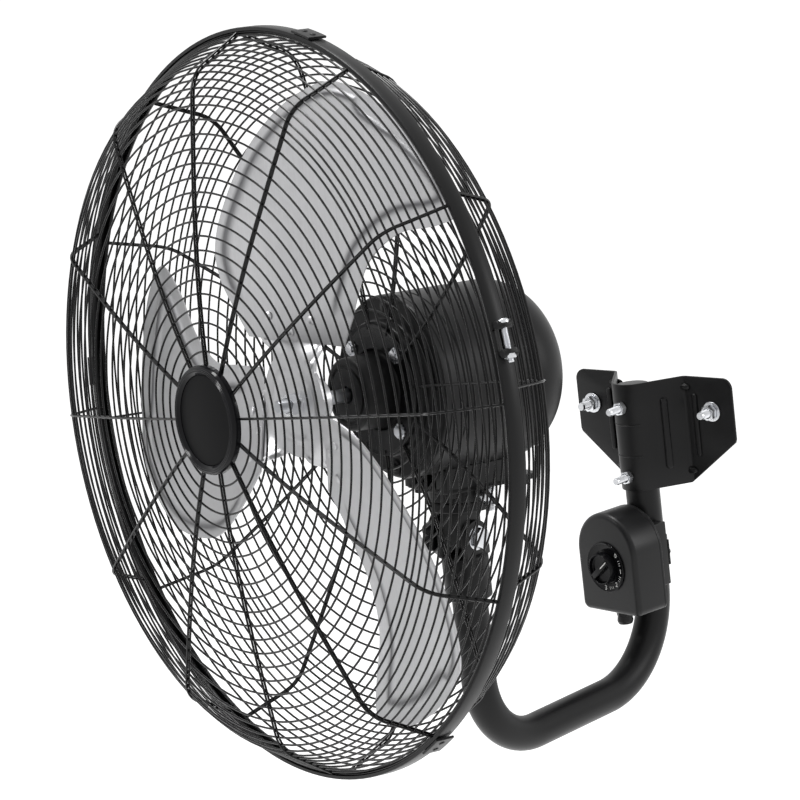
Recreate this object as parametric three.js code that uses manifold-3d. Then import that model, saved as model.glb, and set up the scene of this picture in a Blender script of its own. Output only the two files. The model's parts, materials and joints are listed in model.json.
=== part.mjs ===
// Wall mounted fan, 24 inch class. Millimetres, +Z up, wall plane at Y = 0, the room is on the -Y side.
// The origin lies on the wall plane, midway between the two wall bolts.
import * as THREE from 'three';
import { mergeVertices } from 'three/addons/utils/BufferGeometryUtils.js';
import Module from 'manifold-3d';

const wasm = await Module();
wasm.setup();

// ---- driving dimensions ------------------------------------------------------------------
const GAP = 0.3; // clearance between pieces that touch
const SEAT = 0.4; // clearance where a round piece sits in a faceted seat

// arm tube
const TUBE_OD = 32;
const TUBE_BORE = 27;
const TUBE_FROM_WALL = 29; // tube axis to the wall
const ARM_REACH = 260; // tube leg to tube leg
const ARM_DROP = 250; // wall bolts down to the axis of the bottom run
const WALL_BEND = 85;
const HEAD_BEND = 70;
const TUBE_TOP = 26; // upper end of the wall leg
const TUBE_HEAD_END = -72; // upper end of the head leg

// wall bracket
const PLATE = 2.5;
const BRACKET_TOP = 32;
const BRACKET_HEIGHT = 102;
const FOLD_HALF = 39; // fold line to the middle
const WING_LEFT = 49;
const WING_RIGHT = 55;
const WING_EDGE = 60; // straight part of a wing's outer edge
const WING_CORNER = 10;
const BOLT_HALF = 70; // wall bolts to the middle
const WALL_BOLT_D = 8;
const WALL_BOLT_OUT = 22; // bolt end to the wall
const WALL_NUT_FLATS = 13;
const WALL_NUT_H = 6.5;
const WALL_WASHER_D = 19;
const WASHER_T = 1.6;
const CLAMP_BOLT_D = 7;
const CLAMP_UPPER_Z = 10;
const CLAMP_SPACING = 66;
const CLAMP_NUT_FLATS = 11;
const CLAMP_NUT_H = 5.5;
const CLAMP_OUT = 20; // bolt end to the face of the nose
const CLAMP_HEAD_H = 4;
const HOLE_PLAY = 0.5;

// switch box
const BOX_YAW = 8; // degrees, turned round the tube
const BOX_W = 76;
const BOX_H = 96;
const BOX_BOTTOM = -179;
const BOX_FRONT = 56; // front face to the tube axis
const BOX_DEPTH = 34;
const BOX_WALL = 2.5;
const BOX_CHAMFER = 3;
const BOX_COVER_T = 3;
const SADDLE_W = 52;
const SADDLE_H = 60;
const STRAP_T = 2;
const STRAP_H = 24;
const DIAL_Z = 45; // dial centre over the box bottom
const DIAL_R = 24;
const DIAL_T = 1.2;
const DIAL_GAP = 1; // dial ring to the knob
const KNOB_R = 15;
const KNOB_SKIRT = 5;
const KNOB_GRIP_H = 9;
const KNOB_GRIP_W = 7;
const KNOB_TURN = 50; // degrees, the grip from upright, clockwise seen from the front
const SWITCH_SIDE = 26;
const SWITCH_T = 16;
const SWITCH_SHAFT_D = 6;
const SWITCH_SHAFT_IN = 9; // length of the shaft inside the switch
const GLAND_D = 16;
const GLAND_L = 14;
const BOX_SCREW_D = 6;
const BOX_SCREW_H = 2.5;

// head joint at the arm's end
const REST_TILT = 4; // degrees, front up
const REST_PAN = 14; // degrees, front towards -X
const TILT_OVER_TUBE = 24; // tilt axis over the tube end
const FORK_OD = 42;
const FORK_SLEEVE = 32; // length of the sleeve on the tube
const FORK_WEB = 8;
const CHEEK_T = 6;
const CHEEK_R = 16;
const TONGUE_W = 21;
const TILT_BOLT_D = 10;
const TILT_HEAD_FLATS = 17;
const TILT_HEAD_H = 7;
const LOCK_KNOB_R = 20;
const LOCK_KNOB_T = 16;
const LOCK_LOBES = 6;
const FLANGE_R = 29;
const FLANGE_T = 9;
const FLANGE_Z = 26; // underside of the neck flange over the tilt axis
const POST_D = 20;
const THREAD_D = 14; // threaded end of the post
const THREAD_L = 9;
const PIVOT_NUT_FLATS = 22;
const PIVOT_NUT_H = 7;
const BASE_HUB_H = 12;
const BASE_PLATE_T = 5;
const BASE_PLATE_W = 64;
const BASE_PLATE_FRONT = 36;
const BASE_PLATE_REAR = 66;
const PAD_W = 16;
const PAN_SCREW_D = 6;
const PAN_WING_R = 13;

// guards and band, measured from the band plane
const BAND_TO_PIVOT = 170; // band plane to the pan axis
const BAND_R = 325;
const BAND_T = 1.8;
const BAND_W = 14;
const BAND_JOINT_TURN = 75; // degrees clockwise from the top, seen from the front
const BAND_SPLIT = 18;
const LUG_H = 11;
const LUG_T = 3;
const BAND_BOLT_D = 5;
const WIRE = 3; // width and depth of a guard bar
const RIM_PLAY = 1.7; // the band's inner side to the rims
const RIM_R = BAND_R - BAND_T - RIM_PLAY - WIRE / 2;
const RIM_OFFSET = 4;
const RADIALS = 12;
const FRONT_SHOULDER_W = 77; // rim to the edge of the front face
const FRONT_ROUND_R = 75; // radius of the shoulder
const FRONT_SLOPE = 50; // degrees, the straight part from the rim, to the band plane
const FRONT_EDGE_SLOPE = 8; // degrees, where the shoulder meets the face
const FRONT_FACE_DEPTH = 67;
const FRONT_CENTRE_DEPTH = 79;
const FRONT_FACE_RINGS = 6;
const FRONT_SHOULDER_RINGS = 3; // past the rim, the face's edge included
const REAR_SHOULDER_W = 26;
const REAR_ROUND_R = 20;
const REAR_SLOPE = 68;
const REAR_EDGE_SLOPE = 20;
const REAR_FACE_DEPTH = 50;
const REAR_FACE_RINGS = 5;
const REAR_SHOULDER_RINGS = 2;
const CENTRE_RING_R = 36;
const CENTRE_RING_W = 9;
const PLATE_RING_R = 47;
const PLATE_RING_W = 22;
const GUARD_SCREWS = 4;
const GUARD_SCREW_D = 5;
const GUARD_SCREW_HEAD = 11;
const CAP_R = 47;
const CAP_RIM_W = 6;
const CAP_H = 9;
const CAP_DISC_SINK = 2;
const CLIP_TURNS = [12, 145, 270]; // degrees clockwise from the top
const CLIP_L = 26;
const CLIP_T = 3;

// motor
const MOTOR_R = 81;
const MOTOR_OVER_TILT = 63; // the motor's underside over the tilt axis
const FAN_AXIS_Z = MOTOR_OVER_TILT + MOTOR_R;
const SHELL_WALL = 3;
const SHELL_STRAIGHT = 97; // length of the straight part
const DOME_DEPTH = 50;
const DOME_FLAT_R = 22;
const DOME_STEPS = 5;
const BELL_T = 7;
const BELL_STEP_R = 60;
const BELL_STEP_H = 12;
const BOSS_R = 32;
const BOSS_L = 46;
const MOTOR_BEHIND_BAND = 104; // band plane to the front of the bell
const SHAFT_D = 12;
const SHAFT_NOSE = 16; // shaft past the hub
const BEARING_OD = 35;
const BEARING_W = 11;
const STATOR_PLAY = 3; // the shell's inner side to the stator
const STATOR_OD = 2 * (MOTOR_R - SHELL_WALL - STATOR_PLAY);
const STATOR_ID = 86;
const STATOR_L = 50;
const STATOR_FROM = 28; // bell front to the stator
const WINDING_L = 14;
const WINDING_IN = 5; // the windings' outer side inside the stator's
const WINDING_OD = STATOR_OD - 2 * WINDING_IN;
const WINDING_ID = 96;
const AIR_GAP = 0.8;
const INNER_BRACKET_T = 4;
const CAPACITOR_D = 28;
const CAPACITOR_L = 50;

// blade
const BLADES = 3;
const BLADE_TURN = 4; // first blade's arm from straight up, degrees clockwise seen from the front
const HUB_BEHIND_BAND = 2;
const TIP_CLEARANCE = 28; // blade tip to the rims
const BLADE_TIP_R = RIM_R - TIP_CLEARANCE;
const BLADE_ROOT_R = 56;
const BLADE_T = 1.6;
const ROOT_PITCH = 18;
const TIP_PITCH = 12;
const BLADE_BEND_R = 1000; // radius that the blade's section is rolled to
const BLADE_MID_CHORD = 70; // middle of the rolled section, from the arm's middle
const BLADE_STEPS = 12;
const CHORD_STEPS = 6;
// outline of the blade: [share of the way from root to tip, degrees clockwise from the arm]
const HEEL_EDGE = [
  [0.06, -37], [0.29, -34], [0.445, -27], [0.64, -14], [0.785, -5], [0.9, 3], [0.985, 11], [1, 20],
];
const NOSE_EDGE = [
  [0.1, 45], [0.28, 37], [0.445, 34], [0.63, 38], [0.805, 45], [0.94, 47], [0.99, 41], [1, 34], [1, 27],
];
const SHEET_GAP = 0.8; // between the curved blade and the arm under it
const SPIDER_R = 46;
const ARM_SUNK = 8; // the arm's inner end inside the hub plate
const HUB_FLAT_R = 40; // the arms' twist starts here
const SPIDER_T = 2.5;
const SPIDER_BOSS_R = 19;
const SPIDER_BOSS_L = 26;
const SPIDER_ARM_W = 64;
const SPIDER_ARM_R = 92;
const RIVETS = [[76, -22], [76, 22], [64, 0]]; // along the arm and across it
const RIVET_R = 4;
const RIVET_H = 2;
const HUB_NUT_FLATS = 18;
const HUB_NUT_H = 8;

// ---- finishes ----------------------------------------------------------------------------
const finish = (color, roughness, metalness) =>
  new THREE.MeshStandardMaterial({ color, roughness, metalness });
const BLACK_COAT = finish(0x16171a, 0.45, 0.0);
const BLACK_WIRE = finish(0x0c0d0f, 0.3, 0.0);
const BLACK_PLASTIC = finish(0x26272a, 0.5, 0.0);
const KNOB_PLASTIC = finish(0x0f1012, 0.3, 0.0);
const ZINC = finish(0xc9ccd0, 0.3, 1.0);
const ALUMINIUM = finish(0xb4b6b9, 0.38, 1.0);
const STEEL = finish(0x8d9095, 0.4, 1.0);
const LAMINATION = finish(0x55585c, 0.6, 0.8);
const COPPER = finish(0xb06a35, 0.4, 1.0);
const WHITE_PLASTIC = finish(0xd8d8d4, 0.5, 0.0);

// ---- helpers -----------------------------------------------------------------------------
const degrees = THREE.MathUtils.degToRad;

function closed(geometry) {
  geometry.deleteAttribute('normal');
  geometry.deleteAttribute('uv');
  const merged = mergeVertices(geometry, 1e-3);
  const place = merged.attributes.position;
  const kept = [];
  const a = new THREE.Vector3();
  const b = new THREE.Vector3();
  const c = new THREE.Vector3();
  let volume = 0;
  for (let i = 0; i < merged.index.count; i += 3) {
    const corners = [0, 1, 2].map((k) => merged.index.getX(i + k));
    if (new Set(corners).size < 3) continue;
    kept.push(corners);
    a.fromBufferAttribute(place, corners[0]);
    b.fromBufferAttribute(place, corners[1]);
    c.fromBufferAttribute(place, corners[2]);
    volume += a.dot(b.cross(c));
  }
  const order = volume < 0 ? kept.map(([p, q, r]) => [p, r, q]) : kept;
  merged.setIndex(order.flat());
  return merged;
}

function toManifold(geometry) {
  const solid = closed(geometry);
  const vertProperties = new Float32Array(solid.attributes.position.array);
  const triVerts = new Uint32Array(solid.index.array);
  return new wasm.Manifold(new wasm.Mesh({ numProp: 3, vertProperties, triVerts }));
}

function toGeometry(manifold) {
  const mesh = manifold.getMesh();
  const geometry = new THREE.BufferGeometry();
  geometry.setAttribute('position', new THREE.BufferAttribute(mesh.vertProperties, 3));
  geometry.setIndex(new THREE.BufferAttribute(mesh.triVerts, 1));
  return geometry;
}

const join = (...shapes) => toGeometry(shapes.map(toManifold).reduce((sum, shape) => sum.add(shape)));
const cut = (body, ...tools) =>
  toGeometry(tools.map(toManifold).reduce((rest, tool) => rest.subtract(tool), toManifold(body)));
const common = (first, second) => toGeometry(toManifold(first).intersect(toManifold(second)));

function block(x0, x1, y0, y1, z0, z1) {
  const geometry = new THREE.BoxGeometry(x1 - x0, y1 - y0, z1 - z0);
  return geometry.translate((x0 + x1) / 2, (y0 + y1) / 2, (z0 + z1) / 2);
}

// a round or polygonal rod along an axis, from one coordinate to another
function rod(axis, radius, from, to, sides = 20) {
  const geometry = new THREE.CylinderGeometry(radius, radius, to - from, sides);
  geometry.translate(0, (from + to) / 2, 0);
  if (axis === 'z') geometry.rotateX(Math.PI / 2);
  if (axis === 'x') geometry.rotateZ(-Math.PI / 2);
  return geometry;
}

const acrossFlats = (flats) => flats / 2 / Math.cos(Math.PI / 6);

// a hexagonal nut along an axis, with its bore
function nut(axis, flats, bore, from, to) {
  const hexagon = rod(axis, acrossFlats(flats), from, to, 6);
  return cut(hexagon, rod(axis, bore / 2 + SEAT, from - 1, to + 1, 16));
}

function washer(axis, outer, bore, from, to) {
  return cut(rod(axis, outer / 2, from, to, 24), rod(axis, bore / 2 + SEAT, from - 1, to + 1, 16));
}

// a body of revolution about Y; the outline is a closed list of [radius, y]
function turned(outline, sides = 32) {
  const points = outline.map(([radius, y]) => new THREE.Vector2(radius, y));
  return new THREE.LatheGeometry([...points, points[0]], sides);
}

function extruded(points, from, to) {
  const shape = new THREE.Shape(points.map(([x, y]) => new THREE.Vector2(x, y)));
  const geometry = new THREE.ExtrudeGeometry(shape, { depth: to - from, bevelEnabled: false });
  return geometry.translate(0, 0, from);
}

// an outline drawn in X and Z, extruded along Y
function panel(points, from, to) {
  return extruded(points.map(([x, z]) => [x, z]), -to, -from).rotateX(Math.PI / 2);
}

function arc(cx, cy, radius, start, end, steps) {
  return Array.from({ length: steps + 1 }, (_, i) => {
    const angle = degrees(start + ((end - start) * i) / steps);
    return [cx + radius * Math.cos(angle), cy + radius * Math.sin(angle)];
  });
}

function piece(name, geometry, material) {
  const mesh = new THREE.Mesh(closed(geometry), material);
  mesh.name = name;
  return mesh;
}

// ---- arm tube ----------------------------------------------------------------------------
class ArmPath extends THREE.CurvePath {
  constructor() {
    super();
    const wallY = -TUBE_FROM_WALL;
    const headY = wallY - ARM_REACH;
    const bottom = -ARM_DROP;
    const at = (y, z) => new THREE.Vector3(0, y, z);
    this.add(new THREE.LineCurve3(at(wallY, TUBE_TOP), at(wallY, bottom + WALL_BEND)));
    this.add(new Bend(wallY - WALL_BEND, bottom + WALL_BEND, WALL_BEND, 0, -90));
    this.add(new THREE.LineCurve3(at(wallY - WALL_BEND, bottom), at(headY + HEAD_BEND, bottom)));
    this.add(new Bend(headY + HEAD_BEND, bottom + HEAD_BEND, HEAD_BEND, -90, -180));
    this.add(new THREE.LineCurve3(at(headY, bottom + HEAD_BEND), at(headY, TUBE_HEAD_END)));
  }
}

class Bend extends THREE.Curve {
  constructor(y, z, radius, start, end) {
    super();
    Object.assign(this, { y, z, radius, start, end });
  }

  getPoint(t) {
    const angle = degrees(this.start + (this.end - this.start) * t);
    const y = this.y + this.radius * Math.cos(angle);
    const z = this.z + this.radius * Math.sin(angle);
    return new THREE.Vector3(0, y, z);
  }
}

function armTube() {
  const sides = 14;
  const bendSteps = 8;
  const rings = [];
  for (const part of new ArmPath().curves) {
    const steps = part instanceof Bend ? bendSteps : 1;
    for (let i = 0; i <= steps; i += 1) {
      if (i === 0 && rings.length) continue;
      rings.push({ centre: part.getPoint(i / steps), along: part.getTangent(i / steps) });
    }
  }
  const wall = (radius) => rings.map(({ centre, along }) => {
    const across = new THREE.Vector3(1, 0, 0);
    const up = new THREE.Vector3().crossVectors(along, across).normalize();
    return Array.from({ length: sides }, (_, k) => {
      const angle = (2 * Math.PI * (k + 0.5)) / sides;
      return centre.clone().addScaledVector(across, radius * Math.cos(angle))
        .addScaledVector(up, radius * Math.sin(angle));
    });
  });
  const outer = wall(TUBE_OD / 2);
  const inner = wall(TUBE_BORE / 2);
  const quads = [];
  for (let k = 0; k < sides; k += 1) {
    const n = (k + 1) % sides;
    for (let i = 0; i + 1 < rings.length; i += 1) {
      quads.push([outer[i][k], outer[i + 1][k], outer[i + 1][n], outer[i][n]]);
      quads.push([inner[i][k], inner[i][n], inner[i + 1][n], inner[i + 1][k]]);
    }
    const last = rings.length - 1;
    quads.push([outer[0][k], outer[0][n], inner[0][n], inner[0][k]]);
    quads.push([outer[last][k], inner[last][k], inner[last][n], outer[last][n]]);
  }
  const tube = fromQuads(quads);
  const holes = clampHeights().map((z) =>
    rod('y', CLAMP_BOLT_D / 2 + HOLE_PLAY, -TUBE_FROM_WALL - TUBE_OD, 0, 12).translate(0, 0, z));
  return cut(tube, ...holes);
}

function fromQuads(quads) {
  const positions = [];
  for (const [a, b, c, d] of quads) {
    for (const corner of [a, b, c, a, c, d]) positions.push(corner.x, corner.y, corner.z);
  }
  const geometry = new THREE.BufferGeometry();
  geometry.setAttribute('position', new THREE.Float32BufferAttribute(positions, 3));
  return geometry;
}

const clampHeights = () => [CLAMP_UPPER_Z, CLAMP_UPPER_Z - CLAMP_SPACING];

// ---- wall bracket ------------------------------------------------------------------------
const NOSE_IN = TUBE_OD / 2 + SEAT;
const NOSE_OUT = NOSE_IN + PLATE;
const NOSE_FACE = -TUBE_FROM_WALL - NOSE_OUT;
const BRACKET_BOTTOM = BRACKET_TOP - BRACKET_HEIGHT;

// angle of the slanted walls to the wall plane: each is tangent to the nose
function slantAngle() {
  const reach = Math.hypot(FOLD_HALF, TUBE_FROM_WALL);
  return Math.atan2(TUBE_FROM_WALL, FOLD_HALF) + Math.asin(NOSE_IN / reach);
}

function hatOutline() {
  const slant = THREE.MathUtils.radToDeg(slantAngle());
  const fold = FOLD_HALF + PLATE * Math.tan(slantAngle() / 2);
  const nose = (radius) => arc(0, -TUBE_FROM_WALL, radius, slant - 90, -90 - slant, 10);
  const front = [[FOLD_HALF + WING_RIGHT, -PLATE], [fold, -PLATE], ...nose(NOSE_OUT),
    [-fold, -PLATE], [-FOLD_HALF - WING_LEFT, -PLATE]];
  const back = [[-FOLD_HALF - WING_LEFT, 0], [-FOLD_HALF, 0], ...nose(NOSE_IN).reverse(),
    [FOLD_HALF, 0], [FOLD_HALF + WING_RIGHT, 0]];
  return [...front, ...back];
}

function wallBracket() {
  const hat = extruded(hatOutline(), BRACKET_BOTTOM, BRACKET_TOP);
  const left = -FOLD_HALF - WING_LEFT;
  const right = FOLD_HALF + WING_RIGHT;
  const edge = BRACKET_TOP - WING_EDGE;
  const corner = BRACKET_TOP - WING_CORNER;
  const face = panel([
    [-FOLD_HALF, BRACKET_BOTTOM], [FOLD_HALF, BRACKET_BOTTOM], [right, edge],
    ...arc(right - WING_CORNER, corner, WING_CORNER, 0, 90, 4),
    ...arc(left + WING_CORNER, corner, WING_CORNER, 90, 180, 4), [left, edge],
  ], NOSE_FACE - 1, 1);
  const boltHoles = [-BOLT_HALF, BOLT_HALF].map((x) =>
    rod('y', WALL_BOLT_D / 2 + HOLE_PLAY, -PLATE - 1, 1, 16).translate(x, 0, 0));
  const clampHoles = clampHeights().map((z) =>
    rod('y', CLAMP_BOLT_D / 2 + HOLE_PLAY, NOSE_FACE - 1, -TUBE_FROM_WALL, 12).translate(0, 0, z));
  return cut(common(hat, face), ...boltHoles, ...clampHoles);
}

function wallFasteners() {
  const washerFrom = -PLATE - GAP - WASHER_T;
  const nutFrom = washerFrom - GAP - WALL_NUT_H;
  return [['left', -BOLT_HALF], ['right', BOLT_HALF]].flatMap(([side, x]) => {
    const bolt = rod('y', WALL_BOLT_D / 2, -WALL_BOLT_OUT, 0, 16);
    const ring = washer('y', WALL_WASHER_D, WALL_BOLT_D, washerFrom, washerFrom + WASHER_T);
    const hexagon = nut('y', WALL_NUT_FLATS, WALL_BOLT_D, nutFrom, nutFrom + WALL_NUT_H);
    return [
      piece(`wall_bolt_${side}`, bolt, ZINC),
      piece(`wall_washer_${side}`, ring, ZINC),
      piece(`wall_nut_${side}`, hexagon, ZINC),
    ].map((mesh) => placed(mesh, x, 0, 0));
  });
}

function clampFasteners() {
  const headFrom = -TUBE_FROM_WALL + TUBE_OD / 2 + GAP;
  const nutTo = NOSE_FACE - GAP;
  return clampHeights().flatMap((z, i) => {
    const name = ['upper', 'lower'][i];
    const shank = rod('y', CLAMP_BOLT_D / 2, NOSE_FACE - CLAMP_OUT, headFrom + 1, 16);
    const head = rod('y', acrossFlats(CLAMP_NUT_FLATS), headFrom, headFrom + CLAMP_HEAD_H, 6);
    return [
      piece(`clamp_bolt_${name}`, join(shank, head), ZINC),
      piece(`clamp_nut_${name}`, nut('y', CLAMP_NUT_FLATS, CLAMP_BOLT_D, nutTo - CLAMP_NUT_H, nutTo), ZINC),
    ].map((mesh) => placed(mesh, 0, 0, z));
  });
}

function placed(mesh, x, y, z) {
  mesh.position.set(x, y, z);
  return mesh;
}

function tubePlug() {
  const lip = rod('z', TUBE_OD / 2, TUBE_TOP + GAP, TUBE_TOP + GAP + 2);
  const stem = rod('z', TUBE_BORE / 2 - SEAT, TUBE_TOP - 8, TUBE_TOP + GAP + 1);
  return join(lip, stem);
}

// ---- switch box, drawn with the tube axis at the origin ------------------------------------
function archOutline(width, height, inset) {
  const half = width / 2 - inset;
  const top = height - inset;
  const shoulder = top - half;
  return [[-half, inset], [half, inset], ...arc(0, shoulder, half, 0, 180, 14)];
}

function boxHousing() {
  const back = -BOX_FRONT + BOX_DEPTH;
  const skin = panel(archOutline(BOX_W, BOX_H, 0), -BOX_FRONT + BOX_CHAMFER, back);
  const face = panel(archOutline(BOX_W, BOX_H, BOX_CHAMFER * 0.6), -BOX_FRONT, -BOX_FRONT + BOX_CHAMFER + 1);
  const hollow = panel(archOutline(BOX_W, BOX_H, BOX_WALL), -BOX_FRONT + BOX_WALL, back + 1);
  const shaftHole = rod('y', SWITCH_SHAFT_D / 2 + 1, -BOX_FRONT - 1, -BOX_FRONT + BOX_WALL + 1, 16);
  shaftHole.translate(0, 0, DIAL_Z);
  const glandHole = rod('z', GLAND_D / 2 - 2 + SEAT, -1, BOX_WALL + 1, 16).translate(0, glandY(), 0);
  return cut(join(skin, face), hollow, shaftHole, glandHole);
}

const glandY = () => -BOX_FRONT + BOX_DEPTH / 2;

// back cover with the saddle that seats on the tube
function boxCover() {
  const from = -BOX_FRONT + BOX_DEPTH + GAP;
  const plate = panel(archOutline(BOX_W, BOX_H, 0), from, from + BOX_COVER_T);
  const middle = BOX_H / 2;
  const saddle = block(-SADDLE_W / 2, SADDLE_W / 2, from, 0, middle - SADDLE_H / 2, middle + SADDLE_H / 2);
  return cut(join(plate, saddle), rod('z', TUBE_OD / 2 + SEAT, -1, BOX_H + 1, 24));
}

// half-round strap that holds the saddle on the tube
function boxStrap() {
  const inner = TUBE_OD / 2 + SEAT;
  const z0 = (BOX_H - STRAP_H) / 2;
  const ring = rod('z', inner + STRAP_T, z0, z0 + STRAP_H, 24);
  const ears = block(-SADDLE_W / 2, SADDLE_W / 2, GAP, GAP + STRAP_T, z0, z0 + STRAP_H);
  const half = common(ring, block(-SADDLE_W, SADDLE_W, GAP, SADDLE_W, z0, z0 + STRAP_H));
  return cut(join(half, ears), rod('z', inner, z0 - 1, z0 + STRAP_H + 1, 24));
}

function strapScrew(side) {
  const x = (side * (SADDLE_W / 2 + TUBE_OD / 2 + SEAT + STRAP_T)) / 2;
  const seat = 2 * GAP + STRAP_T;
  return rod('y', BOX_SCREW_D / 2, seat, seat + BOX_SCREW_H, 12).translate(x, 0, BOX_H / 2);
}

function dialRing() {
  const back = -BOX_FRONT - GAP;
  return tubeSection(DIAL_R, KNOB_R + DIAL_GAP, back - DIAL_T, back, 36).translate(0, 0, DIAL_Z);
}

function speedKnob() {
  const back = -BOX_FRONT - GAP;
  const front = back - KNOB_SKIRT;
  const skirt = rod('y', KNOB_R, front, back, 28);
  const grip = common(
    block(-KNOB_GRIP_W / 2, KNOB_GRIP_W / 2, front - KNOB_GRIP_H, front + 1, -KNOB_R, KNOB_R),
    rod('y', KNOB_R - 1.5, front - KNOB_GRIP_H - 1, front + 2, 28),
  );
  const bore = rod('y', SWITCH_SHAFT_D / 2 + SEAT, front + 1, back + 1, 16);
  return cut(join(skirt, grip), bore).rotateY(degrees(KNOB_TURN)).translate(0, 0, DIAL_Z);
}

function rotarySwitch() {
  const front = -BOX_FRONT + BOX_WALL + GAP;
  const half = SWITCH_SIDE / 2;
  const body = block(-half, half, front, front + SWITCH_T, -half, half);
  const bore = rod('y', SWITCH_SHAFT_D / 2 + SEAT, front - 1, front + SWITCH_SHAFT_IN + GAP, 16);
  return cut(body, bore).translate(0, 0, DIAL_Z);
}

function switchShaft() {
  const inner = -BOX_FRONT + BOX_WALL + GAP + SWITCH_SHAFT_IN;
  const outer = -BOX_FRONT - GAP - KNOB_SKIRT + 1 + GAP;
  return rod('y', SWITCH_SHAFT_D / 2, outer, inner, 16).translate(0, 0, DIAL_Z);
}

function cableGland() {
  const head = rod('z', GLAND_D / 2, -GLAND_L, -GAP, 6);
  const neck = rod('z', GLAND_D / 2 - 2, -GLAND_L + 1, BOX_WALL + 3, 16);
  const bore = rod('z', GLAND_D / 4, -GLAND_L - 1, BOX_WALL + 4, 16);
  return cut(join(head, neck), bore).translate(0, glandY(), 0);
}

function switchBox() {
  const group = new THREE.Group();
  group.position.set(0, -TUBE_FROM_WALL, BOX_BOTTOM);
  group.rotation.z = -degrees(BOX_YAW);
  group.add(
    piece('switch_box_housing', boxHousing(), BLACK_PLASTIC),
    piece('switch_box_cover', boxCover(), BLACK_PLASTIC),
    piece('switch_box_strap', boxStrap(), ZINC),
    piece('strap_screw_left', strapScrew(-1), ZINC),
    piece('strap_screw_right', strapScrew(1), ZINC),
    piece('dial_ring', dialRing(), KNOB_PLASTIC),
    piece('speed_knob', speedKnob(), KNOB_PLASTIC),
    piece('rotary_switch', rotarySwitch(), WHITE_PLASTIC),
    piece('switch_shaft', switchShaft(), STEEL),
    piece('cable_gland', cableGland(), BLACK_PLASTIC),
  );
  return group;
}

// ---- head joint, drawn with the tilt axis at the origin ------------------------------------
const TILT_Z = TUBE_HEAD_END + TILT_OVER_TUBE;
const CHEEK_IN = TONGUE_W / 2 + GAP;
const CHEEK_OUT = CHEEK_IN + CHEEK_T;
const HUB_FROM = FLANGE_Z + FLANGE_T + GAP;
const HUB_TO = HUB_FROM + BASE_HUB_H;
const BASE_FROM = HUB_TO - 1; // the base plate is sunk into the hub
const BASE_TO = BASE_FROM + BASE_PLATE_T;

function tiltFork() {
  const tubeEnd = -TILT_OVER_TUBE;
  const webFrom = tubeEnd + GAP;
  const webTo = webFrom + FORK_WEB;
  const sleeve = rod('z', FORK_OD / 2, tubeEnd - FORK_SLEEVE, webTo, 24);
  const cheeks = [-CHEEK_OUT, CHEEK_IN].map((x) => join(
    rod('x', CHEEK_R, x, x + CHEEK_T, 16),
    block(x, x + CHEEK_T, -CHEEK_R, CHEEK_R, webTo - 1, 0),
  ));
  const bore = rod('z', TUBE_OD / 2 + SEAT, tubeEnd - FORK_SLEEVE - 1, webFrom, 24);
  const boltHole = rod('x', TILT_BOLT_D / 2 + SEAT, -CHEEK_OUT - 1, CHEEK_OUT + 1, 16);
  const tongueRoom = rod('x', CHEEK_R + GAP, -CHEEK_IN, CHEEK_IN, 16);
  return cut(join(sleeve, ...cheeks), bore, boltHole, tongueRoom);
}

function tiltBolt() {
  const head = rod('x', acrossFlats(TILT_HEAD_FLATS), CHEEK_OUT + GAP, CHEEK_OUT + GAP + TILT_HEAD_H, 6);
  const shank = rod('x', TILT_BOLT_D / 2, -CHEEK_OUT - LOCK_KNOB_T + 3, CHEEK_OUT + 1, 16);
  return join(head, shank);
}

function lobedKnob(radius, lobes) {
  return Array.from({ length: lobes * 4 }, (_, i) => {
    const angle = (2 * Math.PI * i) / (lobes * 4);
    const reach = radius * (0.88 + 0.12 * Math.cos(lobes * angle));
    return [reach * Math.cos(angle), reach * Math.sin(angle)];
  });
}

function tiltLockKnob() {
  const near = CHEEK_OUT + GAP;
  const far = near + LOCK_KNOB_T;
  const body = extruded(lobedKnob(LOCK_KNOB_R, LOCK_LOBES), near + 4, far);
  const boss = rod('z', LOCK_KNOB_R / 2, near, near + 5, 20);
  const bore = rod('z', TILT_BOLT_D / 2 + SEAT, near - 1, far - 2.5, 16);
  return cut(join(body, boss), bore).rotateY(-Math.PI / 2);
}

function neck() {
  const tongueR = CHEEK_R - 1;
  const eye = rod('x', tongueR, -TONGUE_W / 2, TONGUE_W / 2, 24);
  const stem = block(-TONGUE_W / 2, TONGUE_W / 2, -tongueR + 1, tongueR - 1, 0, FLANGE_Z + 1);
  const flange = rod('z', FLANGE_R, FLANGE_Z, FLANGE_Z + FLANGE_T, 28);
  const post = rod('z', POST_D / 2, FLANGE_Z + 1, BASE_TO - GAP, 20);
  const thread = rod('z', THREAD_D / 2, FLANGE_Z + 1, BASE_TO + THREAD_L, 16);
  const boltHole = rod('x', TILT_BOLT_D / 2 + SEAT, -TONGUE_W, TONGUE_W, 16);
  return cut(join(eye, stem, flange, post, thread), boltHole);
}

// turning base: hub on the neck's post, flat plate and two pads under the motor shell
function headBase() {
  const motorUnder = FAN_AXIS_Z - MOTOR_R;
  const hub = rod('z', FLANGE_R, HUB_FROM, HUB_TO, 28);
  const half = BASE_PLATE_W / 2;
  const plate = block(-half, half, -BASE_PLATE_FRONT, BASE_PLATE_REAR, BASE_FROM, BASE_TO);
  const pads = [-half, half - PAD_W].map((x) =>
    block(x, x + PAD_W, -BASE_PLATE_FRONT, BASE_PLATE_REAR / 2, BASE_FROM + 1, motorUnder + MOTOR_R / 4));
  const shell = rod('y', MOTOR_R + SEAT, -BASE_PLATE_REAR, BASE_PLATE_REAR + 1, 40);
  shell.translate(0, 0, FAN_AXIS_Z);
  const bore = rod('z', POST_D / 2 + SEAT, HUB_FROM - 1, BASE_TO + 1, 20);
  const screwHole = rod('x', PAN_SCREW_D / 2 + SEAT, 0, FLANGE_R + 1, 12).translate(0, 0, panScrewZ());
  return cut(join(hub, plate, ...pads), shell, bore, screwHole);
}

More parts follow.
